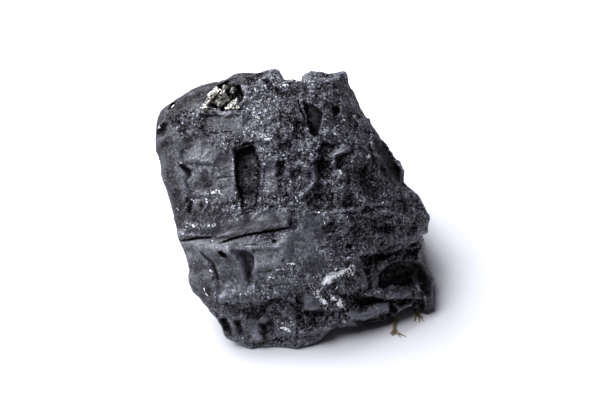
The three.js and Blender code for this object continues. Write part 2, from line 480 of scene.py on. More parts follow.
@dataclass(frozen=True)
class BrokenCoal:
    """Bituminous coal as it breaks from the seam.

    The real lump was split by hand and never dressed. Its cleavage faces are vitrain and give a
    satin, violet-grey lustre with faint streaks along the bedding. The grain between them is dull
    and sooty, with single flakes that flash. A thin white layer of calcite lies in a few of the
    cleats. Painted shade darkens its hollows, the foot and dark zones of the face down to black,
    and painted highlights lighten its edges, ledges and ridges; small white spots are painted glints.
    """

    name: str = "bituminous_coal_broken"
    # the darkest colour: painted shade in hollows, under the foot and in dark zones, and sooty coal
    soot_and_painted_shade: str = "0a0808"
    body: str = "28282d"
    # the palest colour: painted highlights on edges, ledges and ridges, and pale coal
    pale_and_painted_sheen: str = "66666f"
    # white: calcite, and the painted glints
    calcite_and_painted_glint: str = "fafafc"
    fleck: str = "b4b5be"
    cloud_mm: float = 4.0
    streak_mm: Point3 = (4.5, 0.77, 0.91)
    streak_turn: Point3 = (0.0, 0.35, 0.1)
    # real flakes, chips and dust are under 0.1 mm: they are drawn this coarse so that they show
    flake_mm: float = 0.42
    chip_mm: float = 0.31
    dust_mm: float = 0.3
    dust_depth_mm: float = 0.16

    def make(self) -> Material:
        """Makes the material.

        Returns:
            The material.
        """
        material = blank(self.name)
        tree = material.node_tree
        read = self.reading(tree)
        shade = self.shade(tree, read)
        calcite_and_painted_glint_cover = self.calcite_and_painted_glint_cover(tree, read)
        bare = add(tree, MATH, {0: 1.0, 1: calcite_and_painted_glint_cover}, operation="SUBTRACT")
        flash = self.flash(tree, read)
        bare_flash = add(tree, MATH, {0: flash, 1: bare}, operation="MULTIPLY")

        # the darkest colour takes painted shade and sooty coal, the palest painted highlights and pale
        # coal, and white takes calcite and painted glints
        low = add(tree, MAP, {"Value": shade, "From Min": -0.1, "From Max": 0.5})
        high = add(tree, MAP, {"Value": shade, "From Min": 0.5, "From Max": 1.2})
        coats = ((low, self.body), (high, self.pale_and_painted_sheen), (calcite_and_painted_glint_cover, self.calcite_and_painted_glint), (bare_flash, self.fleck))
        colour: Any = linear(self.soot_and_painted_shade)
        for share, hex_colour in coats:
            inputs = {0: share, 6: colour, 7: linear(hex_colour)}
            colour = add(tree, MIX, inputs, data_type="RGBA").outputs[2]

        # painted shade, and sooty coal, swallow the reflection as well as the light where the shade is
        # low: a black metal does that
        inputs = {"Value": shade, "From Min": -0.3, "From Max": 0.45, "To Min": 0.9, "To Max": 0.0}
        painted_shade_and_soot_metal = add(tree, MATH, {0: add(tree, MAP, inputs), 1: bare}, operation="MULTIPLY")
        metal = add(tree, MATH, {0: bare_flash, 1: painted_shade_and_soot_metal}, operation="MAXIMUM")
        inputs = {
            "Base Color": colour,
            "Roughness": self.roughness(tree, read, shade, flash),
            "Metallic": metal,
            "Normal": self.normal(tree, read, calcite_and_painted_glint_cover),
            "IOR": 1.7,
        }
        add(tree, "ShaderNodeOutputMaterial", {"Surface": add(tree, "ShaderNodeBsdfPrincipled", inputs)})
        return material

    def reading(self, tree: Tree) -> CoalReading:
        """Adds the nodes that the rest of the finish reads.

        Args:
            tree: The material's tree.

        Returns:
            Their sockets.
        """
        place = add(tree, "ShaderNodeTexCoord").outputs["Object"]
        stored = (
            add(tree, "ShaderNodeAttribute", attribute_name=layer.value).outputs["Fac"]
            for layer in (Layer.GRAIN, Layer.RELIEF, Layer.CALCITE_AND_PAINTED_GLINTS, Layer.TONE)
        )
        flake, chip = (
            add(tree, "ShaderNodeTexVoronoi", {"Vector": place, "Scale": 1 / (size * MM)}).outputs["Color"]
            for size in (self.flake_mm, self.chip_mm)
        )
        return CoalReading(place, *stored, flake, add(tree, "ShaderNodeSeparateColor", {0: chip}).outputs)

    def shade(self, tree: Tree, read: CoalReading) -> Node:
        """How pale the coal is: painted shade in the hollows, painted highlights on the edges, the patches
        of painted light, and a shade for each crumb.

        Args:
            tree: The material's tree.
            read: What the finish reads.

        Returns:
            A value from about -1 for black painted shade and sooty coal to 1.2 for the palest painted
            highlight.
        """
        clouds = add(tree, NOISE, {"Vector": read.place, "Scale": 1 / (self.cloud_mm * MM), "Detail": 5.0})
        inputs = {"Value": clouds, "From Min": 0.35, "From Max": 0.65, "To Min": -0.56, "To Max": -0.34}
        mottle = add(tree, MAP, inputs)
        luck = add(tree, MATH, {0: read.chip[1], 1: 3.0}, operation="POWER")
        crumb = add(tree, MAP, {"Value": luck, "To Min": -0.42, "To Max": 1.1})
        scale = tuple(1 / (size * MM) for size in self.streak_mm)
        inputs = {"Vector": read.place, "Scale": scale, "Rotation": self.streak_turn}
        along = add(tree, "ShaderNodeMapping", inputs)
        streaks = add(tree, NOISE, {"Vector": along, "Scale": 1.0, "Detail": 3.0})
        inputs = {"Value": streaks, "From Min": 0.3, "From Max": 0.7, "To Min": -0.16, "To Max": 0.16}
        streak = add(tree, MAP, inputs)
        calm = add(tree, MAP, {"Value": read.grain, "To Min": 1.0, "To Max": 0.2})

        # the patches add painted shade and painted highlights, with the coal's own darker and paler zones;
        # the clouds mottle its colour at random
        shade = add(tree, MATH, {0: mottle, 1: read.tone}, operation="ADD")
        # the relief paints shade into the hollows and highlights onto the edges; the crumbs and the
        # streaks are the coal's own colour
        for part, strength in ((read.relief, 0.9), (crumb, read.grain), (streak, calm)):
            shade = add(tree, MATH, {0: part, 1: strength, 2: shade}, operation="MULTIPLY_ADD")
        return shade

    def calcite_and_painted_glint_cover(self, tree: Tree, read: CoalReading) -> Node:
        """Where white calcite and painted glints lie on the coal: solid in the middle of a patch, single
        flecks around it.

        Args:
            tree: The material's tree.
            read: What the finish reads.

        Returns:
            1 on calcite and painted glints, and 0 on coal.
        """
        amount = add(tree, MATH, {0: read.chip[1], 1: 0.72}, operation="MULTIPLY")
        amount = add(tree, MATH, {0: read.calcite_and_painted_glint, 1: 1.15, 2: amount}, operation="MULTIPLY_ADD")
        solid = add(tree, MAP, {"Value": amount, "From Min": 1.0, "From Max": 1.12})
        present = add(tree, MAP, {"Value": read.calcite_and_painted_glint, "From Min": 0.02, "From Max": 0.1})
        return add(tree, MATH, {0: solid, 1: present}, operation="MULTIPLY")

    def flash(self, tree: Tree, read: CoalReading) -> Node:
        """Which chips are bright: one in ten, more in the grain, none in the hollows and the painted
        shade.

        Args:
            tree: The material's tree.
            read: What the finish reads.

        Returns:
            A value from 0 to 1.
        """
        height = add(tree, MATH, {0: read.relief, 1: read.tone}, operation="ADD")
        chosen = add(tree, MAP, {"Value": read.chip[0], "From Min": 0.9, "From Max": 0.93})
        inputs = {"Value": read.grain, "From Min": 0.1, "From Max": 0.7, "To Min": 0.12, "To Max": 0.6}
        strength = add(tree, MAP, inputs)
        flash = add(tree, MATH, {0: chosen, 1: strength}, operation="MULTIPLY")
        proud = add(tree, MAP, {"Value": height, "From Min": 0.7, "From Max": 1.1})
        return add(tree, MATH, {0: flash, 1: proud}, operation="MULTIPLY")

    def roughness(self, tree: Tree, read: CoalReading, shade: Node, flash: Node) -> Node:
        """How rough each point is: satin on a cleavage face, matt where painted shade and sooty coal
        darken it, glossy on a bright flake.

        Args:
            tree: The material's tree.
            read: What the finish reads.
            shade: How pale the coal is.
            flash: Which chips are bright.

        Returns:
            The roughness.
        """
        inputs = {"Value": shade, "From Min": -0.6, "From Max": 0.6, "To Min": 0.95, "To Max": 0.5}
        rough = add(tree, MAP, inputs)
        chance = add(tree, "ShaderNodeSeparateColor", {0: read.flake})
        shiny = add(tree, MAP, {"Value": chance, "From Min": 0.5, "From Max": 0.7, "To Max": -0.22})
        rough = add(tree, MATH, {0: shiny, 1: read.grain, 2: rough}, operation="MULTIPLY_ADD")
        return add(tree, MATH, {0: flash, 1: -0.4, 2: rough}, operation="MULTIPLY_ADD")

    def normal(self, tree: Tree, read: CoalReading, calcite_and_painted_glint_cover: Node) -> Node:
        """Dusts the surface and gives each flake a slant of its own, which the calcite and painted glints
        soften.

        Args:
            tree: The material's tree.
            read: What the finish reads.
            calcite_and_painted_glint_cover: Where white calcite and painted glints lie on the coal.

        Returns:
            The normal.
        """
        dust = add(tree, NOISE, {"Vector": read.place, "Scale": 1 / (self.dust_mm * MM), "Detail": 2.0})
        strength = add(tree, MAP, {"Value": read.grain, "To Min": 0.3, "To Max": 1.0})
        height = add(tree, MATH, {0: dust, 1: strength}, operation="MULTIPLY")
        inputs = {"Height": height, "Strength": 0.8, "Distance": self.dust_depth_mm * MM}
        bump = add(tree, "ShaderNodeBump", inputs)
        slant = add(tree, VECTOR, {0: read.flake, 1: (0.5, 0.5, 0.5)}, operation="SUBTRACT")
        loose = add(tree, MAP, {"Value": read.grain, "To Min": 0.08, "To Max": 1.2})
        bound = add(tree, MAP, {"Value": calcite_and_painted_glint_cover, "To Min": 1.0, "To Max": 0.3})
        amount = add(tree, MATH, {0: loose, 1: bound}, operation="MULTIPLY")
        slant = add(tree, VECTOR, {0: slant, "Scale": amount}, operation="SCALE")
        turned = add(tree, VECTOR, {0: bump, 1: slant}, operation="ADD")
        return add(tree, VECTOR, {0: turned}, operation="NORMALIZE")


@dataclass(frozen=True)
class Pyrite:
    """Iron pyrites grown as a nest of crystals.

    The real ones grew in a pocket of the seam. Their faces give the glint of pale brass, stepped
    and blotched dark, and painted shade darkens what lies between them.
    """

    name: str = "pyrite_crystals_grown"
    bright: str = "b0ada0"
    # dark blotches of tarnish, and painted shade between the crystals
    tarnish_and_painted_shade: str = "343436"
    blotch_mm: float = 0.7
    blotch_depth_mm: float = 0.2
    facet_mm: float = 0.5

    def make(self) -> Material:
        """Makes the material.

        Returns:
            The material.
        """
        material = blank(self.name)
        tree = material.node_tree
        place = add(tree, "ShaderNodeTexCoord").outputs["Object"]
        hollow = add(tree, "ShaderNodeAttribute", attribute_name=Layer.HOLLOW.value).outputs["Fac"]
        blotch = add(tree, NOISE, {"Vector": place, "Scale": 1 / (self.blotch_mm * MM), "Detail": 6.0})
        stained = add(tree, MAP, {"Value": blotch, "From Min": 0.45, "From Max": 0.59})
        # painted shade: the hollows between the crystals darken like the tarnish blotches
        share = add(tree, MATH, {0: stained, 1: hollow}, operation="ADD")
        dark = add(tree, MAP, {"Value": share, "From Min": 0.2, "From Max": 1.0})
        colours = {0: dark, 6: linear(self.bright), 7: linear(self.tarnish_and_painted_shade)}
        facets = add(tree, "ShaderNodeTexVoronoi", {"Vector": place, "Scale": 1 / (self.facet_mm * MM)})
        slant = add(tree, VECTOR, {0: facets.outputs["Color"], 1: (0.5, 0.5, 0.5)}, operation="SUBTRACT")
        slant = add(tree, VECTOR, {0: slant, "Scale": 0.5}, operation="SCALE")
        inputs = {"Height": blotch, "Strength": 0.9, "Distance": self.blotch_depth_mm * MM}
        bump = add(tree, "ShaderNodeBump", inputs)
        turned = add(tree, VECTOR, {0: bump, 1: slant}, operation="ADD")
        inputs = {
            "Base Color": add(tree, MIX, colours, data_type="RGBA").outputs[2],
            "Roughness": add(tree, MAP, {"Value": share, "To Min": 0.28, "To Max": 0.6}),
            "Normal": add(tree, VECTOR, {0: turned}, operation="NORMALIZE"),
            "Metallic": 0.6,
        }
        add(tree, "ShaderNodeOutputMaterial", {"Surface": add(tree, "ShaderNodeBsdfPrincipled", inputs)})
        return material


@dataclass(frozen=True)
class RootFibre:
    """Dry root fibre from the soil over the seam.

    It grew into a parting of the lump and dried there. It gives the eye a matt tan that darkens to
    brown in blotches along each strand.
    """

    name: str = "root_fibre_dry"
    tan: str = "a08a6c"
    brown: str = "5e4c3c"
    blotch_mm: float = 0.6
    bark_depth_mm: float = 0.03

    def make(self) -> Material:
        """Makes the material.

        Returns:
            The material.
        """
        material = blank(self.name)
        tree = material.node_tree
        place = add(tree, "ShaderNodeTexCoord").outputs["Object"]
        blotch = add(tree, NOISE, {"Vector": place, "Scale": 1 / (self.blotch_mm * MM), "Detail": 2.0})
        dark = add(tree, MAP, {"Value": blotch, "From Min": 0.4, "From Max": 0.62})
        colours = {0: dark, 6: linear(self.tan), 7: linear(self.brown)}
        bark = {"Height": blotch, "Strength": 0.5, "Distance": self.bark_depth_mm * MM}
        inputs = {
            "Base Color": add(tree, MIX, colours, data_type="RGBA").outputs[2],
            "Roughness": 0.8,
            "Normal": add(tree, "ShaderNodeBump", bark),
            "IOR": 1.5,
        }
        add(tree, "ShaderNodeOutputMaterial", {"Surface": add(tree, "ShaderNodeBsdfPrincipled", inputs)})
        return material


# ---- the mesh while it is worked ----


class Clay:
    """A mesh as arrays in the face frame, in mm, while strokes change it.

    Attributes:
        turned: From which to which w of its outward direction a point turns from a side of the
            lump into a part of the broad face.
    """

    turned: Point2 = (0.02, 0.3)

    def __init__(self, obj: Piece) -> None:
        """Reads the mesh.

        Args:
            obj: The object that is worked.
        """
        self.obj = obj
        mesh = obj.data
        ends = np.empty(len(mesh.edges) * 2, np.int32)
        mesh.edges.foreach_get("vertices", ends)
        self.ends = ends.reshape(-1, 2)
        self.count = np.bincount(ends, minlength=len(mesh.vertices)).astype(float)
        places = np.empty(len(mesh.vertices) * 3, np.float32)
        mesh.vertices.foreach_get("co", places)
        self.points = FACE.to_face(places.reshape(-1, 3))
        self.out = self.normals()

    def normals(self) -> Array:
        """Reads the outward directions.

        Returns:
            The direction at each point, in the face frame.
        """
        found = np.empty(len(self.obj.data.vertices) * 3, np.float32)
        self.obj.data.vertex_normals.foreach_get("vector", found)
        return found.reshape(-1, 3) @ FACE.axes().T

    def store(self) -> None:
        """Writes the points back to the mesh and reads its new normals."""
        mesh = self.obj.data
        mesh.vertices.foreach_set("co", FACE.to_row(self.points).astype(np.float32).ravel())
        mesh.update()
        self.out = self.normals()

    def relaxed(self, values: Array, rounds: int) -> Array:
        """Averages values with their neighbours'.

        Args:
            values: One number, or one vector, per point.
            rounds: How many times.

        Returns:
            The averaged values.
        """
        a, b = self.ends[:, 0], self.ends[:, 1]
        kept = values.reshape(len(values), -1).astype(float)
        for _ in range(rounds):
            fresh = np.empty_like(kept)
            for k in range(kept.shape[1]):
                column = kept[:, k]
                total = np.bincount(a, column[b], len(column)) + np.bincount(b, column[a], len(column))
                fresh[:, k] = 0.5 * column + 0.5 * total / self.count
            kept = fresh
        return kept.reshape(values.shape)

    def calm_normals(self, rounds: int) -> Array:
        """The outward directions, averaged over rounds of neighbours and made one long again."""
        out = self.relaxed(self.out, rounds)
        return out / np.linalg.norm(out, axis=1)[:, None]

    def bend(self, rounds: int) -> Array:
        """How far each point lies under, or over where negative, its surroundings, in mm."""
        return np.einsum("ij,ij->i", self.relaxed(self.points, rounds) - self.points, self.out)

    def facing(self) -> Array:
        """How far each point counts as part of the broad face, from 0 to 1."""
        return step(*self.turned, self.out[:, 2])

    def close_to(self, path: Sequence[Point2], reach: float) -> Array:
        """Finds the points of the broad face that a stroke can reach.

        Args:
            path: The stroke's path.
            reach: How far it reaches from the path's box, in mm.

        Returns:
            The indices of the points.
        """
        low, high = np.min(path, axis=0) - reach, np.max(path, axis=0) + reach
        uv = self.points[:, :2]
        return np.flatnonzero(np.all((uv > low) & (uv < high), axis=1) & (self.out[:, 2] > 0.0))


@dataclass
class Nearness:
    """Where points lie against a path.

    Attributes:
        distance: To the path, in mm.
        side: Positive on the left of the path's direction.
        share: How far along the path, from 0 to 1.
    """

    distance: Array
    side: Array
    share: Array


def near(path: Sequence[Point2], uv: Array) -> Nearness:
    """Measures points against a path on the broad face.

    Args:
        path: Its corners.
        uv: The points.

    Returns:
        Their distance, side and share along the path.
    """
    corners = np.array(path, float)
    lengths = np.linalg.norm(np.diff(corners, axis=0), axis=1)
    total = max(lengths.sum(), TINY)
    best = Nearness(np.full(len(uv), FAR), np.zeros(len(uv)), np.zeros(len(uv)))
    if len(corners) == 1:
        return Nearness(np.linalg.norm(uv - corners[0], axis=1), best.side + 1, best.share + 0.5)
    done = 0.0
    for a, b, length in zip(corners[:-1], corners[1:], lengths):
        along = (b - a) / max(length, TINY)
        gap = uv - a
        t = np.clip(gap @ along, 0, length)
        d = np.linalg.norm(gap - t[:, None] * along, axis=1)
        side = np.sign(along[0] * gap[:, 1] - along[1] * gap[:, 0])
        nearer = d < best.distance
        best.distance = np.where(nearer, d, best.distance)
        best.side = np.where(nearer, side, best.side)
        best.share = np.where(nearer, (done + t) / total, best.share)
        done += length
    return best


def inside(corners: Sequence[Point2], uv: Array, edge: float) -> Array:
    """How far points are inside a polygon.

    Args:
        corners: The polygon.
        uv: The points.
        edge: The width of its soft border, in mm.

    Returns:
        1 inside, 0 outside, and between at the border.
    """
    ring = list(corners) + [corners[0]]
    within = np.zeros(len(uv), bool)
    for (ua, va), (ub, vb) in zip(ring[:-1], ring[1:]):
        crosses = (va > uv[:, 1]) != (vb > uv[:, 1])
        at = ua + (uv[:, 1] - va) * (ub - ua) / ((vb - va) or TINY)
        within ^= crosses & (uv[:, 0] < at)
    gap = near(ring, uv).distance + 0.5 * edge
    return np.where(within, step(0, edge, gap), step(edge, 0, gap))


def planes(place: Array, chosen: Array, middle: Array, tilt: Point3) -> tuple[Array, Array]:
    """Fits a plane to the surface and tilts a second one from it.

    Args:
        place: The points, in mm.
        chosen: Which of them the plane is fitted to.
        middle: The u and v about which the second plane is tilted.
        tilt: The second plane's lift over the first in mm, and its further rise per mm of u and v.

    Returns:
        The w of both planes at each point.
    """
    base = np.column_stack([np.ones(len(place)), place[:, :2] - middle])
    fit = np.linalg.lstsq(base[chosen], place[chosen, 2], rcond=None)[0]
    return base @ fit, base @ (fit + np.array(tilt))


class Outline:
    """How deep inside the lump's outline a point lies, seen square on to the broad face.

    Attributes:
        cell: The width of the cells that it is measured in, in mm.
    """

    cell: float = 0.6

    def __init__(self, points: Array, deepest: float = 6.0) -> None:
        """Measures the outline.

        Args:
            points: The lump's points, in mm.
            deepest: The depth up to which it is measured, in mm.
        """
        self.low = points[:, :2].min(axis=0) - 2 * self.cell
        spots = self.spots(points)
        filled = np.zeros(spots.max(axis=0) + 3, bool)
        filled[spots[:, 0], spots[:, 1]] = True
        self.depth = np.zeros(filled.shape)
        for _ in range(round(deepest / self.cell)):
            self.depth += filled * self.cell
            grown = ~filled
            grown[1:] |= ~filled[:-1]
            grown[:-1] |= ~filled[1:]
            grown[:, 1:] |= ~filled[:, :-1]
            grown[:, :-1] |= ~filled[:, 1:]
            filled = ~grown

    def spots(self, points: Array) -> Array:
        """The cell of each point."""
        return ((points[:, :2] - self.low) / self.cell).astype(int)

    def margin(self, points: Array) -> Array:
        """The depth of each point inside the outline, in mm."""
        spots = np.clip(self.spots(points), 0, np.array(self.depth.shape) - 1)
        return self.depth[spots[:, 0], spots[:, 1]]


def taper(share: Array, ends: float) -> Array:
    """Fades a stroke in and out.

    Args:
        share: How far along the stroke each point is, from 0 to 1.
        ends: The share of its length over which it fades at each end.

    Returns:
        The stroke's strength at each point.
    """
    if ends <= 0:
        return np.ones_like(share)
    return step(0, ends, share) * step(0, ends, 1 - share)


# ---- strokes ----


@dataclass(frozen=True)
class Crease:
    """A ridge, or with a negative height a crack, along a path on the broad face.

    Attributes:
        path: Its corners, in mm.
        height: How far it stands out, in mm.
        width: Half its width at the foot, in mm.
        ends: The share of its length over which it fades at each end.
        wander: How far its line strays, in mm.
        bends: The width of the bends in its line, in mm.
    """

    path: tuple[Point2, ...]
    height: float
    width: float
    ends: float = 0.15
    wander: float = 0.25
    bends: float = 2.4

    def work(self, clay: Clay) -> None:
        """Raises the ridge.

        Args:
            clay: The mesh that is worked.
        """
        k = clay.close_to(self.path, self.width + 1)
        place = clay.points[k]
        at = near(self.path, place[:, :2] + drift(place, self.bends, seeds=(3, 8)) * self.wander)
        profile = np.clip(1 - at.distance / self.width, 0, 1)
        lift = self.height * profile * taper(at.share, self.ends)
        clay.points[k, 2] += lift * clay.facing()[k]


@dataclass(frozen=True)
class Ledge:
    """A break where the surface on the right of the path's direction drops.

    Attributes:
        path: Its corners, in mm.
        drop: How far, in mm.
        run: Over which distance the lower side climbs back, in mm.
        edge: The width of the break itself, in mm.
        lip: How far the upper side rises towards the break, in mm.
        ends: The share of its length over which it fades at each end.
        wander: How far its line strays, in mm.
        bends: The width of the bends in its line, in mm.
        hollow: How hollow the lower side is: 1 for a straight climb back.
    """

    path: tuple[Point2, ...]
    drop: float
    run: float
    edge: float = 0.45
    lip: float = 0.0
    ends: float = 0.15
    wander: float = 0.3
    bends: float = 2.6
    hollow: float = 1.3

    def work(self, clay: Clay) -> None:
        """Breaks the surface.

        Args:
            clay: The mesh that is worked.
        """
        k = clay.close_to(self.path, self.run + 1)
        place = clay.points[k]
        at = near(self.path, place[:, :2] + drift(place, self.bends, seeds=(31, 38)) * self.wander)
        fall = step(0, self.edge, at.distance) * np.clip(1 - at.distance / self.run, 0, 1) ** self.hollow
        lip = np.clip(1 - at.distance / (0.6 * self.run), 0, 1) ** 2
        lift = np.where(at.side < 0, -self.drop * fall, self.lip * lip)
        clay.points[k, 2] += lift * taper(at.share, self.ends) * clay.facing()[k]


@dataclass(frozen=True)
class Facet:
    """A flat cleavage face inside a polygon.

    Attributes:
        corners: The polygon, in mm.
        slope: Rise of w per mm of u and of v, added to the surface's own mean slope.
        lift: How far the face stands above the surface's mean, in mm.
        edge: The width over which it meets the surface around it, in mm.
        hold: How much of the old relief it loses, from 0 to 1.
        level: How far from the middle height a point may lie and still count in the mean, in mm.
        reach: How far from the surface's mean a point may lie and still be part of it, in mm.
    """

    corners: tuple[Point2, ...]
    slope: Point2 = (0.0, 0.0)
    lift: float = 0.0
    edge: float = 0.45
    hold: float = 0.92
    level: float = 3.0
    reach: float = 4.0

    def work(self, clay: Clay) -> None:
        """Splits the face off flat.

        Args:
            clay: The mesh that is worked.
        """
        k = clay.close_to(self.corners, 1.0)
        place = clay.points[k]
        share = inside(self.corners, place[:, :2], self.edge) * clay.facing()[k]
        core = share > 0.5
        fewest = 12
        if core.sum() < fewest:
            return
        fitted = core & (np.abs(place[:, 2] - np.median(place[core, 2])) < self.level)
        middle = place[core, :2].mean(axis=0)
        mean, target = planes(place, fitted, middle, (self.lift, *self.slope))
        share = share * (np.abs(place[:, 2] - mean) < self.reach)
        clay.points[k, 2] += (target - place[:, 2]) * share * self.hold


@dataclass(frozen=True)
class Scoop:
    """A shell-shaped hollow with a sharp rim, or with a negative depth a boss.

    Attributes:
        centre: Its middle, in mm.
        radii: Half its length and half its width, in mm.
        turn: How far its length is turned from u towards v, in degrees.
        depth: At its middle, in mm.
        rim: How much of the depth is lost at once at its edge, from 0 to 1.
        ragged: How far its edge follows the broken cells around it, from 0 to 1.
    """

    centre: Point2
    radii: Point2
    turn: float
    depth: float
    rim: float = 0.15
    ragged: float = 0.4

    def work(self, clay: Clay) -> None:
        """Strikes the hollow.

        Args:
            clay: The mesh that is worked.
        """
        k = clay.close_to([self.centre], max(self.radii) * 1.3)
        place = clay.points[k]
        c, s = math.cos(math.radians(self.turn)), math.sin(math.radians(self.turn))
        cells = broken(place, 0.45 * sum(self.radii), seed=51)
        edge = (1 - self.ragged) * place[:, :2] + self.ragged * cells.middle[:, :2]
        gap = edge - np.array(self.centre)
        long = (gap[:, 0] * c + gap[:, 1] * s) / self.radii[0]
        wide = (gap[:, 1] * c - gap[:, 0] * s) / self.radii[1]
        r = np.hypot(long, wide) * (1 + 0.3 * cloud(place, 2.2, seed=53, octaves=2))
        bowl = np.clip(1 - r * r, 0, 1) * (1 - self.rim) + self.rim * step(1.0, 0.8, r)
        clay.points[k, 2] -= self.depth * bowl * clay.facing()[k]


@dataclass(frozen=True)
class Pit:
    """An angular hollow with a broken floor.

    Attributes:
        corners: Its outline, in mm.
        depth: Of its middle under the surface around it, in mm.
        slope: Rise of its floor per mm of u and of v.
        edge: The width of its walls, in mm.
        stray: How far its outline strays, in mm.
        rubble: The usual width of the pieces of its floor, in mm.
        rough: How far those pieces are tilted, as a share of the depth.
        level: How far from the middle height a point may lie and still count in the mean, in mm.
    """

    corners: tuple[Point2, ...]
    depth: float
    slope: Point2 = (0.0, 0.0)
    edge: float = 0.6
    stray: float = 0.45
    rubble: float = 2.2
    rough: float = 0.16
    level: float = 3.0

    def work(self, clay: Clay) -> None:
        """Breaks the hollow out.

        Args:
            clay: The mesh that is worked.
        """
        k = clay.close_to(self.corners, 3.5)
        place = clay.points[k]
        strayed = place[:, :2] + drift(place, 2.0, seeds=(81, 88), octaves=2) * self.stray
        share = inside(self.corners, strayed, self.edge)
        around = share < 0.02
        ring = around & (np.abs(place[:, 2] - np.median(place[around, 2])) < self.level)
        middle = np.mean(self.corners, axis=0)
        floor = planes(place, ring, middle, (-self.depth, *self.slope))[1]
        floor += self.rough * self.depth * broken(place, self.rubble, seed=83).tilt
        clay.points[k, 2] += (floor - place[:, 2]) * share * clay.facing()[k]


@dataclass(frozen=True)
class Grab:
    """Drags a part of the lump, through and through, to bring its outline home.

    Attributes:
        centre: Its middle, in mm.
        radius: How far the drag reaches, in mm.
        shift: The move at the middle along u, v and w, in mm.
        deepest: The w, in mm, below which nothing moves.
        blend: Over how many mm above that the drag sets in.
    """

    centre: Point2
    radius: float
    shift: Point3
    deepest: float = -60.0
    blend: float = 6.0

    def work(self, clay: Clay) -> None:
        """Drags the surface.

        Args:
            clay: The mesh that is worked.
        """
        gap = np.linalg.norm(clay.points[:, :2] - np.array(self.centre), axis=1) / self.radius
        share = np.clip(1 - gap**2, 0, 1) ** 2
        share *= step(self.deepest, self.deepest + self.blend, clay.points[:, 2])
        clay.points += share[:, None] * np.array(self.shift)


@dataclass(frozen=True)
class Cleave:
    """Splits a piece off along a flat plane.

    Attributes:
        point: A point on the plane, in mm.
        normal: The plane's outward direction.
        soft: How far short of the plane the edges start to round, in mm.
    """

    point: Point3
    normal: Point3
    soft: float = 0.6

    def work(self, clay: Clay) -> None:
        """Cuts the lump back to the plane.

        Args:
            clay: The mesh that is worked.
        """
        normal = np.array(self.normal) / np.linalg.norm(self.normal)
        height = (clay.points - np.array(self.point)) @ normal
        left = -self.soft * np.log1p(np.exp(-height / self.soft))
        clay.points += np.outer(left - height, normal)


Stroke = Crease | Ledge | Facet | Scoop | Pit | Grab | Cleave


@dataclass(frozen=True)
class Patch:
    """A soft-edged zone on the broad face.

    Attributes:
        path: Its middle line, in mm.
        width: Half its width, in mm.
        value: What it adds.
        stray: How far its edge strays, in mm and as a further share of its width.
        soft: From where to where its edge fades, as shares of its width.
    """

    path: tuple[Point2, ...]
    width: float
    value: float
    stray: Point2 = (0.1, 0.45)
    soft: Point2 = (1.45, 0.55)

    def share(self, points: Array) -> Array:
        """Measures points against the zone.

        Args:
            points: Where, in mm.

        Returns:
            Its value inside it, 0 outside it, and between at its edge.
        """
        reach = self.stray[0] + self.stray[1] * self.width
        stray = drift(points, 1.0 + self.width, seeds=(61, 68)) * reach
        gap = near(self.path, points[:, :2] + stray).distance
        return self.value * step(self.width * self.soft[0], self.width * self.soft[1], gap)


def patches(*rows: tuple[Any, ...]) -> tuple[Patch, ...]:
    """Makes patches from rows of half the width, the value and each point of the path."""
    return tuple(Patch(tuple(path), width, value) for width, value, *path in rows)


# Where the broad face is smooth. The rest of it is broken grain.
SMOOTH_BANDS = patches(
    (3.6, 0.85, (-36, 57), (-28, 63.5), (-20, 68.5), (-14, 71)),
    (3.4, 0.35, (-27, 57)),
    (2.4, 0.8, (-21, 57.4), (-14.5, 57)),
    (2.4, 0.4, (-20, 52), (-16.6, 51)),
    (4.2, 0.9, (-33.4, 55), (-31.4, 44), (-29.4, 32)),
    (3.8, 0.9, (-27, 50), (-22, 50)),
    (4.4, 0.78, (-25, 43.5), (-19, 43.5)),
    (2.6, 0.88, (-17.4, 47), (-17, 40)),
    (4.6, 0.7, (-24, 36), (-21, 34)),
    (2.4, 0.5, (-18, 37), (-16.6, 33)),
    (2.2, 0.45, (-31, 30.6), (-20, 30.4)),
    (2.4, 0.7, (-12.4, 50), (-11, 40)),
    (5.0, 0.4, (-8, 61), (-8, 55)),
    (5.0, 0.42, (-1, 60), (2, 67)),
    (5.0, 0.36, (9.5, 67), (12, 57)),
    (4.5, 0.2, (-3, 50), (14, 46)),
    (2.2, 0.85, (-6, 46), (-5.4, 40.6)),
    (2.6, 0.95, (-17, 29.2), (-9, 31.4), (-2.5, 33.6)),
    (5.4, 0.92, (-28, 24), (-12, 22.6), (0, 24.2), (5, 26)),
    (4.6, 0.85, (-24, 17), (-13, 15)),
    (4.0, 0.6, (-17, 5), (-11, 3.5)),
    (1.5, 1.0, (5.8, 61.4), (6.2, 57)),
    (1.5, 0.9, (22, 53), (25.2, 48), (28.4, 42.4)),
    (1.8, 0.6, (-1, 29.2), (5, 29)),
    (2.8, 0.9, (5, 11.3)),
    (3.4, 0.6, (24, 17), (32, 18)),
    (1.1, 0.5, (15.4, 7.7), (19, 7.8), (24.4, 9.8)),
    (0.8, 0.9, (28.2, 8.4), (32.4, 9.4)),
    (1.8, 0.8, (35, 19), (35, 8)),
    (3.2, 0.4, (-5, 17), (1, 16)),
)
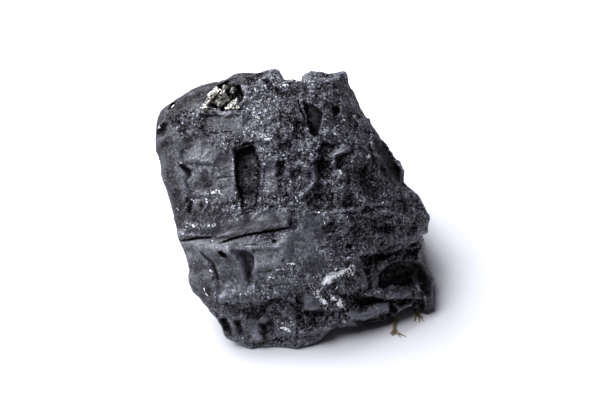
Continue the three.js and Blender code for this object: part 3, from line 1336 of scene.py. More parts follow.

# Where a white layer of calcite covers the cleats, with small white spots of painted glint: solid flecks,
# and below 0.5 scattered ones.
CALCITE_AND_PAINTED_GLINTS = patches(
    (0.7, 1.0, (8.3, 16.8), (9, 17.6)),
    (1.0, 1.0, (9.3, 17.5), (10.6, 18.2)),
    (0.7, 0.85, (10.8, 18.6), (12.4, 19.3)),
    (0.4, 0.6, (12.8, 19.6), (14.6, 20)),
    (0.2, 1.0, (15.2, 19.7)),
    (0.26, 1.0, (11.3, 20)),
    (1.5, 0.42, (8, 16.6), (12, 19.4), (15.6, 20.2)),
    (0.36, 1.0, (9, 16.1)),
    (0.22, 1.0, (11.4, 15.5), (11.3, 15.1)),
    (0.45, 0.75, (6.4, 14.9), (6.9, 14.4)),
    (0.35, 0.7, (6.6, 13.6), (7.3, 12.8)),
    (0.4, 0.75, (7.8, 11.9), (8.3, 11.3)),
    (1.3, 0.42, (5.2, 15.2), (7, 13.4), (9, 10.6)),
    (0.24, 1.0, (10.4, 12.7), (11.2, 12)),
    (0.45, 1.0, (12.2, 11.9), (12.1, 11.2)),
    (0.5, 0.9, (11.6, 10.9), (12.7, 10.6)),
    (0.2, 1.0, (13.6, 9.1)),
    (0.9, 0.4, (9.6, 12.9), (11.6, 11.6), (13.2, 9.8)),
    (1.2, 0.34, (4.4, 18.6), (7, 17.4)),
    (0.4, 0.66, (-9.4, 59.6), (-8.8, 59)),
    (0.9, 0.38, (-10, 60), (-8.6, 58.6)),
    (0.25, 0.62, (-10.6, 55.4), (-9.6, 55.2)),
    (0.3, 0.72, (-7.4, 53.5), (-5.8, 53.4)),
    (0.34, 0.56, (-8.6, 51.8), (-7.6, 50.8)),
    (0.7, 0.36, (-12.6, 55), (-10, 54.6), (-6, 53.4)),
    (0.5, 0.36, (-9.6, 66.4), (-7.4, 64.8), (-8.6, 63.6)),
    (1.6, 0.3, (-9, 64), (-6, 64)),
    (3.0, 0.22, (-8, 61), (-6, 56)),
    (0.26, 0.7, (-20.3, 40.6), (-18.6, 39.2)),
    (0.16, 0.8, (-21.4, 39.6), (-20, 39.9)),
    (0.16, 0.7, (-22.6, 38.2), (-22, 36.8)),
    (0.14, 0.7, (-26.6, 37.9), (-25.6, 37.6)),
    (0.2, 0.55, (-15.1, 36.4), (-15.5, 33.6)),
    (0.8, 0.33, (-16.4, 37.6), (-17.4, 33.4)),
    (0.3, 1.0, (-29.9, 35.2)),
    (0.25, 1.0, (-29.2, 47.2)),
    (0.28, 1.0, (-34.8, 56.9)),
    (0.2, 0.9, (-31.9, 62.2), (-31.5, 62.8)),
    (0.2, 0.62, (-27.2, 32.2), (-27.5, 30.4)),
    (0.2, 0.62, (-26, 31.4), (-25.2, 30.8)),
    (0.16, 0.6, (-21.8, 31.1), (-20.2, 31.2)),
    (0.8, 0.3, (-27.5, 31.2), (-23, 30.4), (-18.6, 31.2)),
    (0.26, 0.5, (-23.8, 26.9), (-20.4, 27.1)),
    (0.3, 1.0, (-35.1, 56.8)),
    (0.2, 0.6, (-15.3, 47), (-15.3, 44.9)),
    (0.25, 0.7, (-17, 47.3)),
    (0.28, 0.9, (-5.6, 69.8), (-5, 69.8)),
    (0.3, 0.6, (-2.4, 67.8), (-1.2, 68)),
    (0.3, 0.6, (3.6, 68.2), (4.2, 68.6)),
    (0.55, 1.0, (19.7, 49.1)),
    (0.22, 0.75, (-21.6, 19.8), (-20.8, 19.2)),
    (0.24, 1.0, (0.9, 38.6)),
    (0.24, 0.8, (0.9, 37.3)),
    (0.3, 0.7, (1.7, 43.6)),
    (0.3, 0.7, (11.9, 50), (12.9, 50.6)),
    (0.3, 0.7, (12.4, 45.3), (12.6, 44.2)),
    (2.0, 0.29, (12, 57), (16, 59)),
    (1.6, 0.3, (-7.5, 39.6), (-2, 38)),
    (1.2, 0.29, (23, 38.6), (27, 39.4)),
    (2.6, 0.27, (11, 26), (16, 23)),
    (0.3, 0.6, (-13.4, 13.5), (-10.8, 13.9)),
    (0.3, 0.9, (-8.2, 14.3)),
    (1.2, 0.3, (-17, 13), (-8, 15)),
    (0.28, 0.62, (-1.1, 21.2), (0.7, 21.5)),
    (0.18, 0.8, (-22.9, 15.2), (-22.3, 13.8)),
    (0.28, 1.0, (-21.8, 13.1)),
    (0.16, 0.7, (-20, 13.6), (-19.7, 11.6)),
    (0.2, 1.0, (-18.2, 8.6)),
    (0.26, 1.0, (-12.9, 2)),
    (0.45, 0.68, (-2.8, 4.8), (-1.4, 4.4)),
    (1.2, 0.33, (-4.2, 6.8), (-0.4, 6.2)),
    (0.25, 0.8, (-1.2, 4.2), (-0.6, 4)),
    (0.28, 0.8, (9.4, 4.2), (9.9, 4.4)),
    (0.2, 1.0, (13.5, 58.8)),
    (0.2, 1.0, (16, 59.5)),
    (0.18, 1.0, (-6.1, 18)),
)

# Where the coal is painted darker, below 0, or paler, above 0: painted shade in the slot, the notch, the
# niche, the hollows and under the foot, painted highlights on the lit rims, ledges, ridges and slabs, and
# in places the coal's own darker and paler zones.
PAINTED_LIGHT_AND_TONES = patches(
    (3.4, -1.15, (-36, 57), (-28, 64.2), (-18, 70), (-12, 71.4)),
    (3.2, -0.75, (-35.6, 55), (-33.2, 44), (-31, 32)),
    (1.8, -0.3, (-22.6, 56.8), (-15.4, 57)),
    (2.2, -0.4, (-21, 52.6), (-16.8, 50.6)),
    (1.6, -0.25, (-27, 42), (-20.6, 41)),
    (3.4, -0.42, (-26, 34), (-20, 34)),
    (2.6, -0.3, (-28.6, 55), (-25, 57)),
    (0.7, -1.0, (-31.6, 62.6)),
    (0.6, -0.8, (-33.2, 57.4)),
    (3.4, -0.55, (-26, 18), (-24, 12)),
    (2.4, 0.42, (-11, 22.8), (-2.6, 23)),
    (2.8, 0.25, (0, 26), (4, 25)),
    (3.2, 0.2, (8, 25), (14, 24)),
    (2.0, -0.55, (-15, 29.6), (-8, 31.6), (-2, 33.6)),
    (1.6, 0.5, (-4.4, 3.4), (0.4, 4.6)),
    (1.4, -1.3, (33.6, 20), (35.2, 16.6), (35.4, 9)),
    (3.2, -0.75, (0, 56), (0.6, 68)),
    (3.0, -0.4, (9, 67), (11, 62)),
    (2.0, -0.3, (-11, 70), (-5, 70)),
    (1.3, -1.2, (-14.7, 66.4), (-14.4, 64.6)),
    (3.4, -0.35, (8, 38.4)),
    (3.0, 0.6, (-2, 36), (2, 33)),
    (2.2, -0.5, (14.6, 14), (18.4, 11.6)),
    (0.4, -1.2, (11, 14), (13.4, 12.7)),
    (0.7, 0.6, (8.8, 15.6), (10.2, 15.4)),
    (2.6, -0.75, (-13, 50.5), (-11.4, 46), (-10.8, 40)),
    (0.5, -0.7, (-14.8, 50), (-14.4, 42.4), (-13.2, 38)),
    (1.8, -0.35, (-11.6, 38), (-11.4, 33)),
    (1.4, -0.85, (6.2, 61), (5.6, 56.4)),
    (0.4, -0.9, (3.2, 62), (5, 55.4)),
    (0.7, -0.9, (5.2, 55.6), (6.6, 54.4)),
    (0.9, -0.5, (6.6, 67), (6.4, 64.6)),
    (2.0, -0.8, (7.4, 47.6), (9.2, 44)),
    (2.7, -0.6, (17.6, 45.2), (21, 39.6)),
    (1.9, -1.2, (21.4, 54.4), (24.8, 49), (28.4, 43)),
    (1.0, -0.6, (-3.1, 47.4), (-3.1, 43.4)),
    (4.6, -0.75, (23, 20), (32, 16)),
    (4.0, -0.45, (16, 38), (20, 31)),
    (1.3, -1.0, (19.6, 22.4), (33.4, 24)),
    (1.3, 0.1, (-16, 9.8), (-8, 10.2)),
    (0.9, -0.8, (-17.9, 6.6), (-16.2, 3.4)),
    (0.8, -0.8, (-14.4, 6.2), (-13.2, 3.4)),
    (1.5, -0.3, (-8.6, 5.4), (-5.4, 3.6)),
    (0.5, -0.6, (-10, 1.2), (-1, 1.2)),
    (1.1, -0.5, (1.7, 12.4), (1.6, 6.6)),
    (1.2, -0.5, (-22.9, 45.2), (-22.3, 41.8)),
    (0.6, -0.9, (-29, 46.6), (-27, 45.4), (-27, 43.8)),
    (1.2, -0.4, (-30.6, 39.2)),
    (0.5, -0.35, (-27.6, 38), (-26, 38.9), (-23.6, 39.1)),
    (0.6, -0.8, (-26.6, 37), (-26.2, 34.4)),
    (0.4, -0.7, (-23.8, 37), (-23.4, 35.6)),
    (1.4, -0.25, (-24.5, 34), (-20.4, 33.4)),
    (1.2, -0.6, (23.4, 30), (25.8, 30.6)),
    (0.8, -1.0, (14.6, 25.7)),
    (0.7, -0.3, (-0.6, 58.6), (2, 56.9)),
    (1.0, -0.5, (-7.4, 69), (-2, 64.8)),
    (0.4, -0.9, (-22.4, 60), (-17, 59.6), (-13.6, 60.2)),
    (0.6, -0.7, (11.2, 61.6), (11.3, 59.6)),
    (0.9, -0.6, (16.7, 57.4)),
    (1.9, -0.4, (7.4, 51.6), (10, 49.4)),
    (1.8, -0.4, (10.4, 30.4)),
    (0.9, -0.3, (11.6, 46.6), (13.6, 47.6)),
    (0.6, -0.9, (-18.6, 24.1), (-16.9, 23.2)),
    (0.35, -0.65, (-24.2, 25), (-22.6, 23.4), (-20.6, 21.5), (-19.4, 18.5), (-19, 16.4)),
    (0.6, -0.9, (-15.8, 25.1), (-13.6, 23.8)),
    (0.22, -1.0, (-30, 28), (-28.6, 27.2), (-25.2, 27.8), (-20.6, 28.2)),
    (0.22, -1.2, (-18.5, 26.6), (-16.4, 27.4), (-11.2, 28.8), (-7.3, 29.5), (-4.4, 29.9), (-0.6, 30.7)),
    (0.8, -0.8, (17, 11), (24, 11.4), (31, 11.2)),
    (0.8, -1.2, (25.4, 10.4), (27, 8.2)),
    (1.3, -1.8, (18, 5.4), (24, 6.6), (30, 7)),
    (2.0, 0.3, (-27, 49.8), (-24.4, 50.4), (-22.6, 48.8)),
    (1.6, 0.7, (-19, 13.4), (-14, 15.4), (-8.4, 15.6)),
    (0.9, 1.5, (-9.8, 4.4), (-9, 1.6)),
    (0.5, 0.8, (10.4, 47.4), (10.6, 49.2), (12.2, 50.6), (14.9, 51)),
    (0.5, 0.6, (12, 45.2), (12.8, 43.4)),
    (0.5, 0.6, (5.3, 45.4), (6, 43.2), (4.7, 40.9), (2.5, 38.8)),
    (1.2, 0.4, (1.6, 44.2), (4, 42.6)),
    (0.4, 0.6, (11.2, 34.6), (14.2, 35.4), (17.4, 35.2), (18.8, 36.4), (23, 36.7)),
    (0.5, 0.5, (16.2, 40.2), (17.4, 37.6), (19.2, 38.4)),
    (0.6, 0.4, (17.4, 24.1), (22, 24.4), (26.2, 24.9), (30.4, 26.2), (34, 27.3)),
    (0.5, 0.6, (22.4, 19.8), (24.4, 21.8), (27, 23.2)),
    (0.25, 0.5, (20.9, 23), (21, 14.4)),
    (0.7, 0.8, (25, 12.7), (30.6, 13.2)),
    (0.7, 1.9, (14.6, 8.1), (19, 8.2), (24.6, 10.4)),
    (0.8, 1.9, (15.4, 7.2), (19, 7.3), (24.4, 9.3)),
    (0.7, 1.4, (28.2, 8.4), (32.4, 9.4)),
    (0.3, 1.2, (30.8, 14.4), (33, 15), (34.5, 13.2), (35.1, 9.9)),
    (1.0, 0.5, (0.4, 2.6), (9.4, 3.8)),
    (1.6, 0.25, (-4, 11), (-3, 9)),
    (1.6, 0.5, (4.6, 11.4)),
    (1.0, 0.4, (8.6, 15.8), (11.4, 16.4)),
    (1.0, 0.4, (-0.6, 29.2), (5.4, 29.4)),
    (1.3, 0.4, (13, 33.2), (15.6, 32)),
    (1.2, 0.5, (17.6, 55.4), (20, 54.8)),
    (0.9, 0.4, (7.4, 56), (13, 54.2)),
    (0.8, 0.4, (-2, 55.8), (0, 55.8)),
    (0.9, 0.4, (-17.4, 35), (-15, 35.2)),
    (0.3, 0.8, (-15.3, 47.4), (-15.2, 44.6)),
)

# The first strokes, on the coarse clay.
FORMS: tuple[Stroke, ...] = (
    Grab((-34.5, 54), 5.0, (-1.4, 0, 0)),
    Grab((-35.5, 51), 5.0, (-0.5, 0, 0)),
    Grab((-14.5, 70.5), 5.5, (0, 1.2, 0), -14),
    Grab((-18.5, 64.6), 4.6, (0, -2.4, 0)),
    Grab((-20.5, 69), 3.6, (0, 0.7, 0)),
    Grab((-33.5, 46), 9.0, (-0.6, 0, 0)),
    Grab((-32.6, 60), 6.0, (-1.4, 1.2, 0)),
    Grab((-25, 65), 9.0, (-0.4, 1.7, 0)),
    Grab((-26, 18.5), 3.4, (-0.7, 0, 0)),
    Grab((-26, 14.4), 3.2, (-0.7, 0, 0)),
    Grab((-17, 1.5), 4.0, (-1.4, -0.3, 0)),
    Grab((-6, 71), 3.4, (0, 1.0, 0), -14),
    Grab((24.6, 50.6), 4.0, (0.8, 0.4, 0)),
    Grab((31.4, 42), 4.0, (-1.8, 0, 0)),
    Grab((27.6, 46.6), 3.0, (0.5, 0, 0)),
    Grab((36, 26), 5.0, (0.7, 0, 0)),
    Grab((9, 71.6), 3.4, (0, -0.4, 0), -14),
    Grab((13, 70.4), 3.4, (0.9, 0.6, 0), -14),
    Grab((3.6, 70), 2.6, (-1.2, 0, 0), -14),
    Grab((-0.6, 68.4), 3.0, (0, 0.7, 0), -14),
    Grab((12, 3), 7.0, (0, 1.8, 0.8)),
    Grab((24, 6.5), 6.0, (0, -1.6, -0.4)),
    # the bevel along the top left rim, the rough hollow under it and the undercut under the nest
    Facet(
        ((-35.5, 56.5), (-32, 58.6), (-24.2, 60.6), (-21.6, 66), (-17, 69.6), (-26, 66.8), (-32, 63)),
        (0.03, 0.12), 0.2, 1.2,
    ),
    Scoop((-27.4, 57), (3.6, 2.6), 10, 0.4, 0.1),
    Pit(((-32.8, 61.4), (-32.2, 63), (-30.4, 64.2), (-31.2, 62.4)), 0.9, (0, 0), 0.4, 0.1),
    Ledge(((-24, 60.6), (-21, 60), (-17, 59.5), (-13.2, 60.2)), 0.7, 2.2, lip=0.1),
    Facet(((-22.4, 55.4), (-14.4, 55), (-12.8, 59.2), (-18, 58.9), (-22.6, 59.6)), (0, 0.02), -0.2),
    Ledge(((-22.8, 55.2), (-19, 54.9), (-14.6, 55.2)), 0.35, 1.6),
    # light triangular cleavage faces beside the left rim
    Facet(((-29.2, 50.3), (-24, 53.3), (-24.6, 47.4), (-28.6, 47.7)), (0.12, -0.12), 0.15, 0.4),
    Facet(((-24, 53.3), (-20.3, 47), (-24.6, 47.4)), (-0.06, -0.12), 0.25, 0.35),
    Ledge(((-29, 47.6), (-24.8, 47.3), (-20.2, 47.5)), 0.35, 1.8),
    Facet(
        ((-35, 53), (-30.4, 52), (-28, 46), (-27.4, 38), (-28.8, 30), (-30.4, 29.6), (-33, 42)),
        (0.06, 0), 0.0, 1.4,
    ),
    Pit(
        ((-29.3, 47.2), (-27.6, 46.4), (-26.2, 45.4), (-26.6, 43.4), (-27.6, 44.8), (-28.8, 46)),
        0.8, (-0.2, 0.1), 0.5, 0.2,
    ),
    Scoop((-22.6, 43.4), (2.2, 1.3), 80, 0.3, 0.05),
    Facet(((-20.2, 48.2), (-15.4, 48.4), (-15.4, 41.4), (-19.8, 41)), (0, -0.05), 0.2, 0.8),
    # the window, with its ridges
    Facet(
        ((-28.6, 36), (-26.6, 38.4), (-20.6, 38.4), (-18.6, 34), (-20, 32.2), (-27.6, 32.6)),
        (0, -0.06), -0.2, 1.0, 0.7,
    ),
    Ledge(
        ((-28.8, 34.6), (-27.8, 37.6), (-25.8, 39), (-22.6, 39.5), (-19.6, 38.2)),
        0.5, 3.4, 0.8, ends=0.25,
    ),
    Crease(((-22.8, 38.4), (-22, 36.8), (-23.4, 34.2)), 0.5, 0.5),
    Crease(((-20.8, 37.4), (-20.4, 34)), 0.35, 0.5),
    Crease(((-25.4, 37.8), (-26.8, 37.4), (-28, 34.4)), 0.4, 0.5),
    Scoop((-26.4, 35.6), (1.7, 0.7), 80, 0.6),
    Scoop((-23.6, 36.4), (1.1, 0.5), 70, 0.5),
    Crease(((-28.6, 33), (-27.4, 31.6), (-23, 30.8), (-18.6, 31.2)), 0.5, 1.3),
    # the slot and its surroundings
    Crease(((-15.7, 50.8), (-15.3, 46), (-14.9, 41)), 0.35, 0.7),
    Pit(
        (
            (-15.1, 50.8), (-12.2, 52.3), (-10.2, 52.5), (-9.4, 50), (-8.3, 46.6),
            (-8.4, 39.4), (-10, 38.2), (-13.4, 38.4), (-14.5, 42.2),
        ),
        3.0, (0.1, -0.14), 0.5, 0.2,
    ),
    Pit(((-13.6, 39), (-8.6, 39.6), (-8.6, 35), (-11.4, 32.4), (-13, 34.4)), 1.1, (0, -0.16), 0.9),
    Facet(((-7.7, 46.4), (-4.2, 46), (-3.4, 40), (-6.4, 39), (-7.8, 40.5)), (0.05, -0.2), 0.2, 0.8),
    # the light, rough plate right of the nest, and the dark diagonal over it
    Facet(
        ((-11, 64.5), (-5, 64.2), (-3.2, 58), (-4.4, 53.4), (-12.6, 52.6), (-12.8, 58)),
        (0.08, -0.14), 0.1, 1.4, 0.5,
    ),
    Ledge(((-13, 53), (-9, 52.6), (-4.8, 53)), 0.5, 2.6),
    Pit(((-8.4, 69.4), (-6.6, 69.6), (-2, 65.4), (-2, 64.2), (-4.6, 65.2)), 0.8, (0, 0.1), 0.9),
    Crease(((-13, 67.6), (-10, 67.2), (-8.8, 65.4)), 0.9, 0.9),
    Scoop((-11.8, 62.6), (1.8, 1.2), 90, 0.4),
    Ledge(((-1.2, 59.2), (0.4, 58.4), (2.4, 56.8)), 0.5, 1.6),
    Scoop((-1.6, 51.6), (3, 1.6), 60, 0.6),
    Scoop((1.2, 66), (3, 1.4), 80, 0.3),
    # round the notch
    Pit(
        ((2.7, 63.2), (5.4, 62.5), (7.7, 60.4), (7.3, 57.6), (6.4, 54.6), (5.2, 54.2), (4.2, 57.6)),
        1.3, (-0.05, 0.12), 0.35, 0.1,
    ),
    Crease(((7.8, 55.8), (10.4, 55.2), (13.2, 54)), 0.6, 1.4),
    Scoop((6.4, 66), (1.8, 0.9), 80, 0.4),
    Pit(((10.3, 61.9), (11.8, 62.2), (12.2, 60.4), (11, 59.2), (10.5, 60.4)), 0.6, (0.1, -0.1), 0.6, 0.2),
    Pit(((16, 59), (17.2, 58.4), (17.2, 55.8), (16, 55.8)), 0.6, (0.15, 0), 0.8),
    Pit(
        ((-16.4, 67), (-14, 67.8), (-12.9, 65.4), (-13.6, 63.2), (-15.4, 63.8)),
        1.4, (0.1, 0.1), 0.7, 0.2,
    ),
    Facet(((17, 56.8), (20.6, 54.4), (19.6, 50.4), (16.6, 52.6)), (0.06, -0.2), 0.3),
    Pit(((6.6, 50.4), (8.6, 53), (10.8, 52), (10.6, 49.4), (8, 48.6)), 0.9, (0.05, -0.1), 0.9),
    # the hollows of the middle, with the hooked ridge between them
    Pit(((-3.9, 47.8), (-2.2, 47.6), (-1.8, 44.6), (-2.6, 43.2), (-3.8, 43.8)), 0.9, (0.25, -0.1), 1.2),
    Crease(
        ((0.2, 47.6), (3.2, 47), (5.2, 45.4), (6, 43.2), (4.8, 41), (2.6, 39.2), (0.2, 38.6)),
        1.3, 1.2,
    ),
    Pit(
        ((-0.6, 45.6), (2.2, 45.6), (4.2, 44), (3.6, 41.6), (1.4, 40.6), (0.4, 42.8)),
        0.7, (0.05, -0.2), 1.8,
    ),
    Pit(
        ((5.8, 47.4), (8, 49.2), (10.4, 48), (10.6, 45), (9.4, 43.2), (6.6, 43.4)),
        1.3, (0.2, -0.12), 1.8,
    ),
    Scoop((8.2, 38.6), (4.6, 3.4), 10, 1.6, 0.1),
    Scoop((6.7, 37), (1.2, 0.8), 20, -0.6, 0.0),
    Crease(((10.6, 45.4), (10.5, 47.6), (11, 49.5), (12.6, 50.8), (15.4, 51.4)), 1.6, 1.4),
    Pit(((11.4, 48.8), (13.6, 49), (14.4, 47), (12.6, 45.8), (11.4, 46.4)), 0.5, (-0.1, -0.2), 1.2),
    Crease(((12.2, 46), (13, 43.2)), 1.2, 1.3),
    Scoop((15.6, 48), (3.2, 2.2), 30, -0.8, 0.0),
    Pit(
        ((16.4, 45.6), (19.2, 46.2), (21.4, 42.8), (22.8, 38.4), (21, 36.8), (18.8, 39), (17, 42)),
        1.7, (0.2, -0.06), 1.8,
    ),
    Crease(((15.4, 41.4), (16.4, 38.8), (18.4, 37.2), (19.6, 39.6)), 0.9, 1.1),
    # the dark face along the right edge
    Facet(
        (
            (20.4, 55.2), (22, 55), (26, 50), (28.6, 45.4), (29.4, 42),
            (27.8, 42.6), (24.6, 45.4), (21.8, 49), (20.6, 52),
        ),
        (-0.5, -0.1), -0.5, 0.4,
    ),
    Crease(((20.8, 53), (21.7, 48.9), (24, 46.2), (26.4, 43.9), (27.8, 42.6)), 0.5, 0.5),
    # the rough slope below, in low steps
    Crease(((10.6, 34.3), (14.2, 35.4), (17.4, 35.1), (18.8, 36.4), (23, 36.7), (27, 36.4)), 0.8, 0.8),
    Ledge(((30, 33.4), (25, 33.8), (20, 32.8), (15, 33.2), (11, 32.4)), -0.9, 2.6, lip=-0.1),
    Crease(((22, 38.6), (25, 39.6), (28.6, 38.6)), 0.8, 0.9),
    Crease(((20, 34.4), (24, 34.8), (29, 33.2), (32, 31.2)), 0.8, 1.0),
    Scoop((10.6, 30.6), (3.4, 1.4), 8, 1.0),
    Pit(((22.4, 30), (24, 31.6), (26.6, 31.2), (26.8, 29.6), (24.4, 28.8)), 1.2, (0.1, -0.1), 0.8),
    Scoop((29.6, 35.6), (3, 1.8), -50, 0.8),
    Scoop((31.6, 30), (2.6, 1.6), 30, 0.8),
    Crease(((12, 34), (14.2, 32.4), (16.4, 31.2)), 0.8, 1.2),
    Scoop((14.6, 25.7), (0.9, 0.7), 60, 2.0, 0.4),
    Scoop((0.6, 48.8), (2.4, 1.3), 20, 0.6),
    Scoop((-1.4, 36), (2.2, 1.6), 80, 0.8),
    # the wedge over the second parting
    Facet(
        (
            (-19.6, 28.2), (-13.8, 31), (-8, 33.5), (-4, 35.1),
            (-1.1, 36), (-0.9, 31.2), (-7, 30), (-14, 28.4),
        ),
        (0.04, -0.16), 0.4, 0.35,
    ),
    Ledge(((-0.9, 30.4), (-0.7, 33), (-1, 36.4)), 1.2, 3.4, 0.3, ends=0.1),
    # the middle band
    Facet(((-10.4, 25), (-3.4, 25.4), (-1.8, 22), (-4, 20.2), (-9.6, 20.2)), (0, -0.18), 0.0),
    Crease(((-17.7, 25.4), (-15.1, 23.6), (-13.5, 21.1), (-12.6, 18.2), (-12.3, 15.6)), 1.05, 1.4),
    Scoop((-23.4, 15.4), (4, 4.8), 0, -1.0, 0.0),
    Crease(((-19.6, 12), (-15, 13.4), (-11, 14.2), (-7.6, 14.6)), 0.5, 1.8),
    Facet(((-17, 11.2), (-6.6, 11.2), (-6.6, 8), (-12, 7.4), (-16.6, 8.4)), (0, 0.12), -0.1, 1.2, 0.8),
    # the front
    Facet(((3, 13.4), (6.6, 13.5), (7.4, 10), (5.6, 9.2), (3.1, 9.4)), (0.1, -0.35), 0.9, 0.3),
    Ledge(((2.6, 9.2), (5.6, 9), (8.4, 9.3)), 1.4, 2.6, 0.3),
    Scoop((10.4, 15.6), (2.8, 1.4), 20, 1.0),
    Pit(((0.6, 13), (2.6, 13), (2.8, 8), (2.6, 6.2), (0.6, 6.8)), 1.0, (0.1, 0), 0.8),
    Scoop((-3.6, 9.6), (2.6, 1.6), 20, 0.9),
    Scoop((16.4, 12.4), (2.8, 2.2), 30, 1.0),
    Scoop((-4.6, 15.6), (2.6, 1.2), 10, 0.7),
    Crease(((15.6, 23.6), (15.4, 20.6), (16.4, 17)), 0.8, 1.2),
    Facet(((-10.4, 4.8), (-9.4, 4.9), (-7, 1.2), (-11.2, 1)), (0.35, -0.35), 0.8, 0.3),
    Pit(((-8.6, 5.8), (-5, 6.4), (-4.2, 4.8), (-5, 2.8), (-7.4, 3)), 0.9, (0.1, -0.1), 0.9),
    Pit(((-18.8, 7.1), (-17.2, 7.3), (-15.6, 4.6), (-16, 2.9), (-17.4, 4)), 0.6, (0.2, -0.1), 0.9, 0.2),
    Pit(((-14.9, 6.7), (-13.8, 6.6), (-12.6, 3.6), (-13.6, 3)), 0.5, (0.2, -0.1), 0.8, 0.2),
    Crease(((-13.5, 8.8), (-11.6, 7.6)), 1.2, 1.2),
    Facet(((-4.6, 7.6), (0.6, 6.8), (0.8, 2.6), (-4.2, 2.6)), (0.15, -0.3), 0.5, 0.5, 0.6),
    Scoop((4.4, 5.6), (3.4, 1.2), 12, 0.9),
    Crease(((1, 3.2), (5, 3.6), (9.6, 4.6)), 0.9, 0.9),
    # the niche under the shoulder
    Ledge(
        ((16.6, 23.6), (22, 23.8), (26.2, 24.4), (30.2, 25.7), (34.6, 27)),
        1.2, 3.4, lip=0.5, ends=0.06,
    ),
    Crease(((20.9, 23.2), (21, 18), (21.1, 14)), 0.4, 0.6),
    Crease(((22.4, 19.8), (24.4, 21.8), (27, 23.4)), 0.5, 1.0),
    Crease(((24.6, 17), (28, 18.8), (31.6, 19.4)), 0.35, 0.7),
    Crease(((25.4, 14.8), (29, 16.4), (32, 16.8)), 0.3, 0.7),
    Facet(((24.4, 13.6), (30.8, 14.2), (31, 12.6), (28, 11.8), (24.4, 11.9)), (0, -0.5), 0.5, 0.5),
    Pit(
        (
            (16.6, 12.2), (21, 12.6), (24.4, 11.7), (28, 11.6), (31, 12.3),
            (31, 10.4), (27.6, 9.6), (24.8, 11.1), (21, 10.6), (17.6, 9.6),
        ),
        1.0, (0, 0.1), 0.6, 0.2,
    ),
    # the two slabs along the foot, and the black lobe behind them
    Facet(
        (
            (14.1, 8.7), (18.2, 8.9), (22.6, 10.8), (24.5, 11),
            (25, 9.1), (21.9, 8), (18.5, 6.5), (15.6, 6.7),
        ),
        (0.05, -0.35), 0.7, 0.35,
    ),
    Facet(
        ((27.8, 8.9), (30, 9.4), (32.5, 9.8), (32.8, 9.3), (29.3, 7.6), (28, 7.8)),
        (0, -0.4), 0.6, 0.3,
    ),
    Pit(((25.4, 11), (27.6, 9.4), (27.8, 7.9), (25.3, 8.6)), 1.2, (0, 0), 0.4, 0.1),
    Crease(((30.8, 14.3), (33, 15), (34.5, 13.2), (35.1, 9.9), (34.1, 8)), 0.6, 0.6),
    # where the film lies, the face is turned up to the left
    Facet(
        ((8, 16.2), (9, 18.6), (11.2, 19.9), (15.4, 20.6), (13.8, 18.6), (11.8, 17.7), (9.8, 16.4)),
        (0.26, -0.6), 0.2, 0.5,
    ),
    Facet(((5.6, 15.4), (7.2, 15.4), (9, 11.2), (7.6, 10.6)), (0.26, -0.5), 0.1, 0.5),
    Facet(((10.8, 12.2), (13.2, 12.2), (13.4, 10), (11, 10)), (0.26, -0.5), 0.1, 0.5),
)

# The flat faces split off behind the crest before anything else is worked.
SPLITS: tuple[Stroke, ...] = (Cleave((0, 72.2, -8.4), (0.05, 0.79, -0.61), 0.3),)

# The last strokes, on the fine clay.
MARKS: tuple[Stroke, ...] = (
    # the two partings across the left half
    Crease(((-30.6, 28.3), (-28.6, 27.2), (-25.2, 27.8), (-20.8, 28.2)), -0.8, 0.34, 0.06, 0.2),
    Crease(
        ((-18.5, 26.6), (-16.4, 27.4), (-11.2, 28.8), (-7.3, 29.5), (-4.4, 29.9), (-0.6, 30.7)),
        -1.1, 0.34, 0.08, 0.15,
    ),
    Crease(((-29.8, 28.9), (-25.4, 28.5), (-21, 28.8)), 0.25, 0.5),
    Scoop((-4.7, 27.1), (0.6, 0.5), 0, 0.9),
    Scoop((-2.3, 22.2), (0.5, 0.7), 0, 0.6),
    # the dark diagonal
    Crease(((-24.4, 25.1), (-22.6, 23.4), (-20.6, 21.5), (-19.4, 18.5), (-19, 16)), -0.5, 0.45, 0.2, 0.2),
    Crease(((-22.8, 21.6), (-21, 19.4), (-20.2, 17.8)), 0.35, 0.5),
    Scoop((-17.9, 23.7), (1.4, 0.6), -28, 0.9, 0.4),
    Crease(((-12.2, 25.8), (-8.8, 26.2)), -0.3, 0.3),
    Crease(((-9.4, 19.3), (-5.2, 19.4)), -0.4, 0.3),
    Crease(((-4.8, 19.6), (-3, 19.8), (-1.2, 19.6)), 0.45, 0.4),
    Crease(((-20.1, 13.8), (-19.7, 12.4), (-19.8, 11.2)), 0.4, 0.35),
    Crease(((-23.2, 15.6), (-22.4, 13.8), (-21.4, 12.8)), 0.3, 0.4),
    Crease(((-22.2, 55.4), (-19.5, 55), (-15, 55.3)), -0.3, 0.3),
    Crease(((-24.6, 47.6), (-24, 50), (-23.9, 53)), 0.18, 0.4),
    Crease(((-24.8, 47.8), (-26.4, 50), (-28.6, 51)), 0.12, 0.4),
    Crease(((-24.8, 47.8), (-22.6, 49.6), (-21.6, 50.4)), 0.12, 0.4),
    Crease(((-20, 43.4), (-18, 43.3), (-15.6, 43.7)), -0.25, 0.3),
    Crease(((1.2, 64.2), (2.1, 61.2), (3.4, 58.2)), -0.8, 0.35, 0.1, 0.1),
    Crease(((-24.4, 60.2), (-23.2, 58.6)), 0.3, 0.4),
    Crease(((15, 8.1), (19, 8.2), (24.2, 10.3)), 0.26, 0.35),
    Crease(((16, 7.3), (20, 7.7), (24.4, 9.6)), -0.28, 0.3),
    Crease(((9.2, 14.4), (11, 13.6), (13.7, 12.4)), -0.5, 0.35),
    Crease(((18, 6.6), (18.1, 5.4)), 0.3, 0.2),
    Facet(((19.1, 48.5), (20.3, 48.5), (20.3, 49.7), (19.1, 49.7)), (0.5, -0.5), 0.1, 0.3),
)


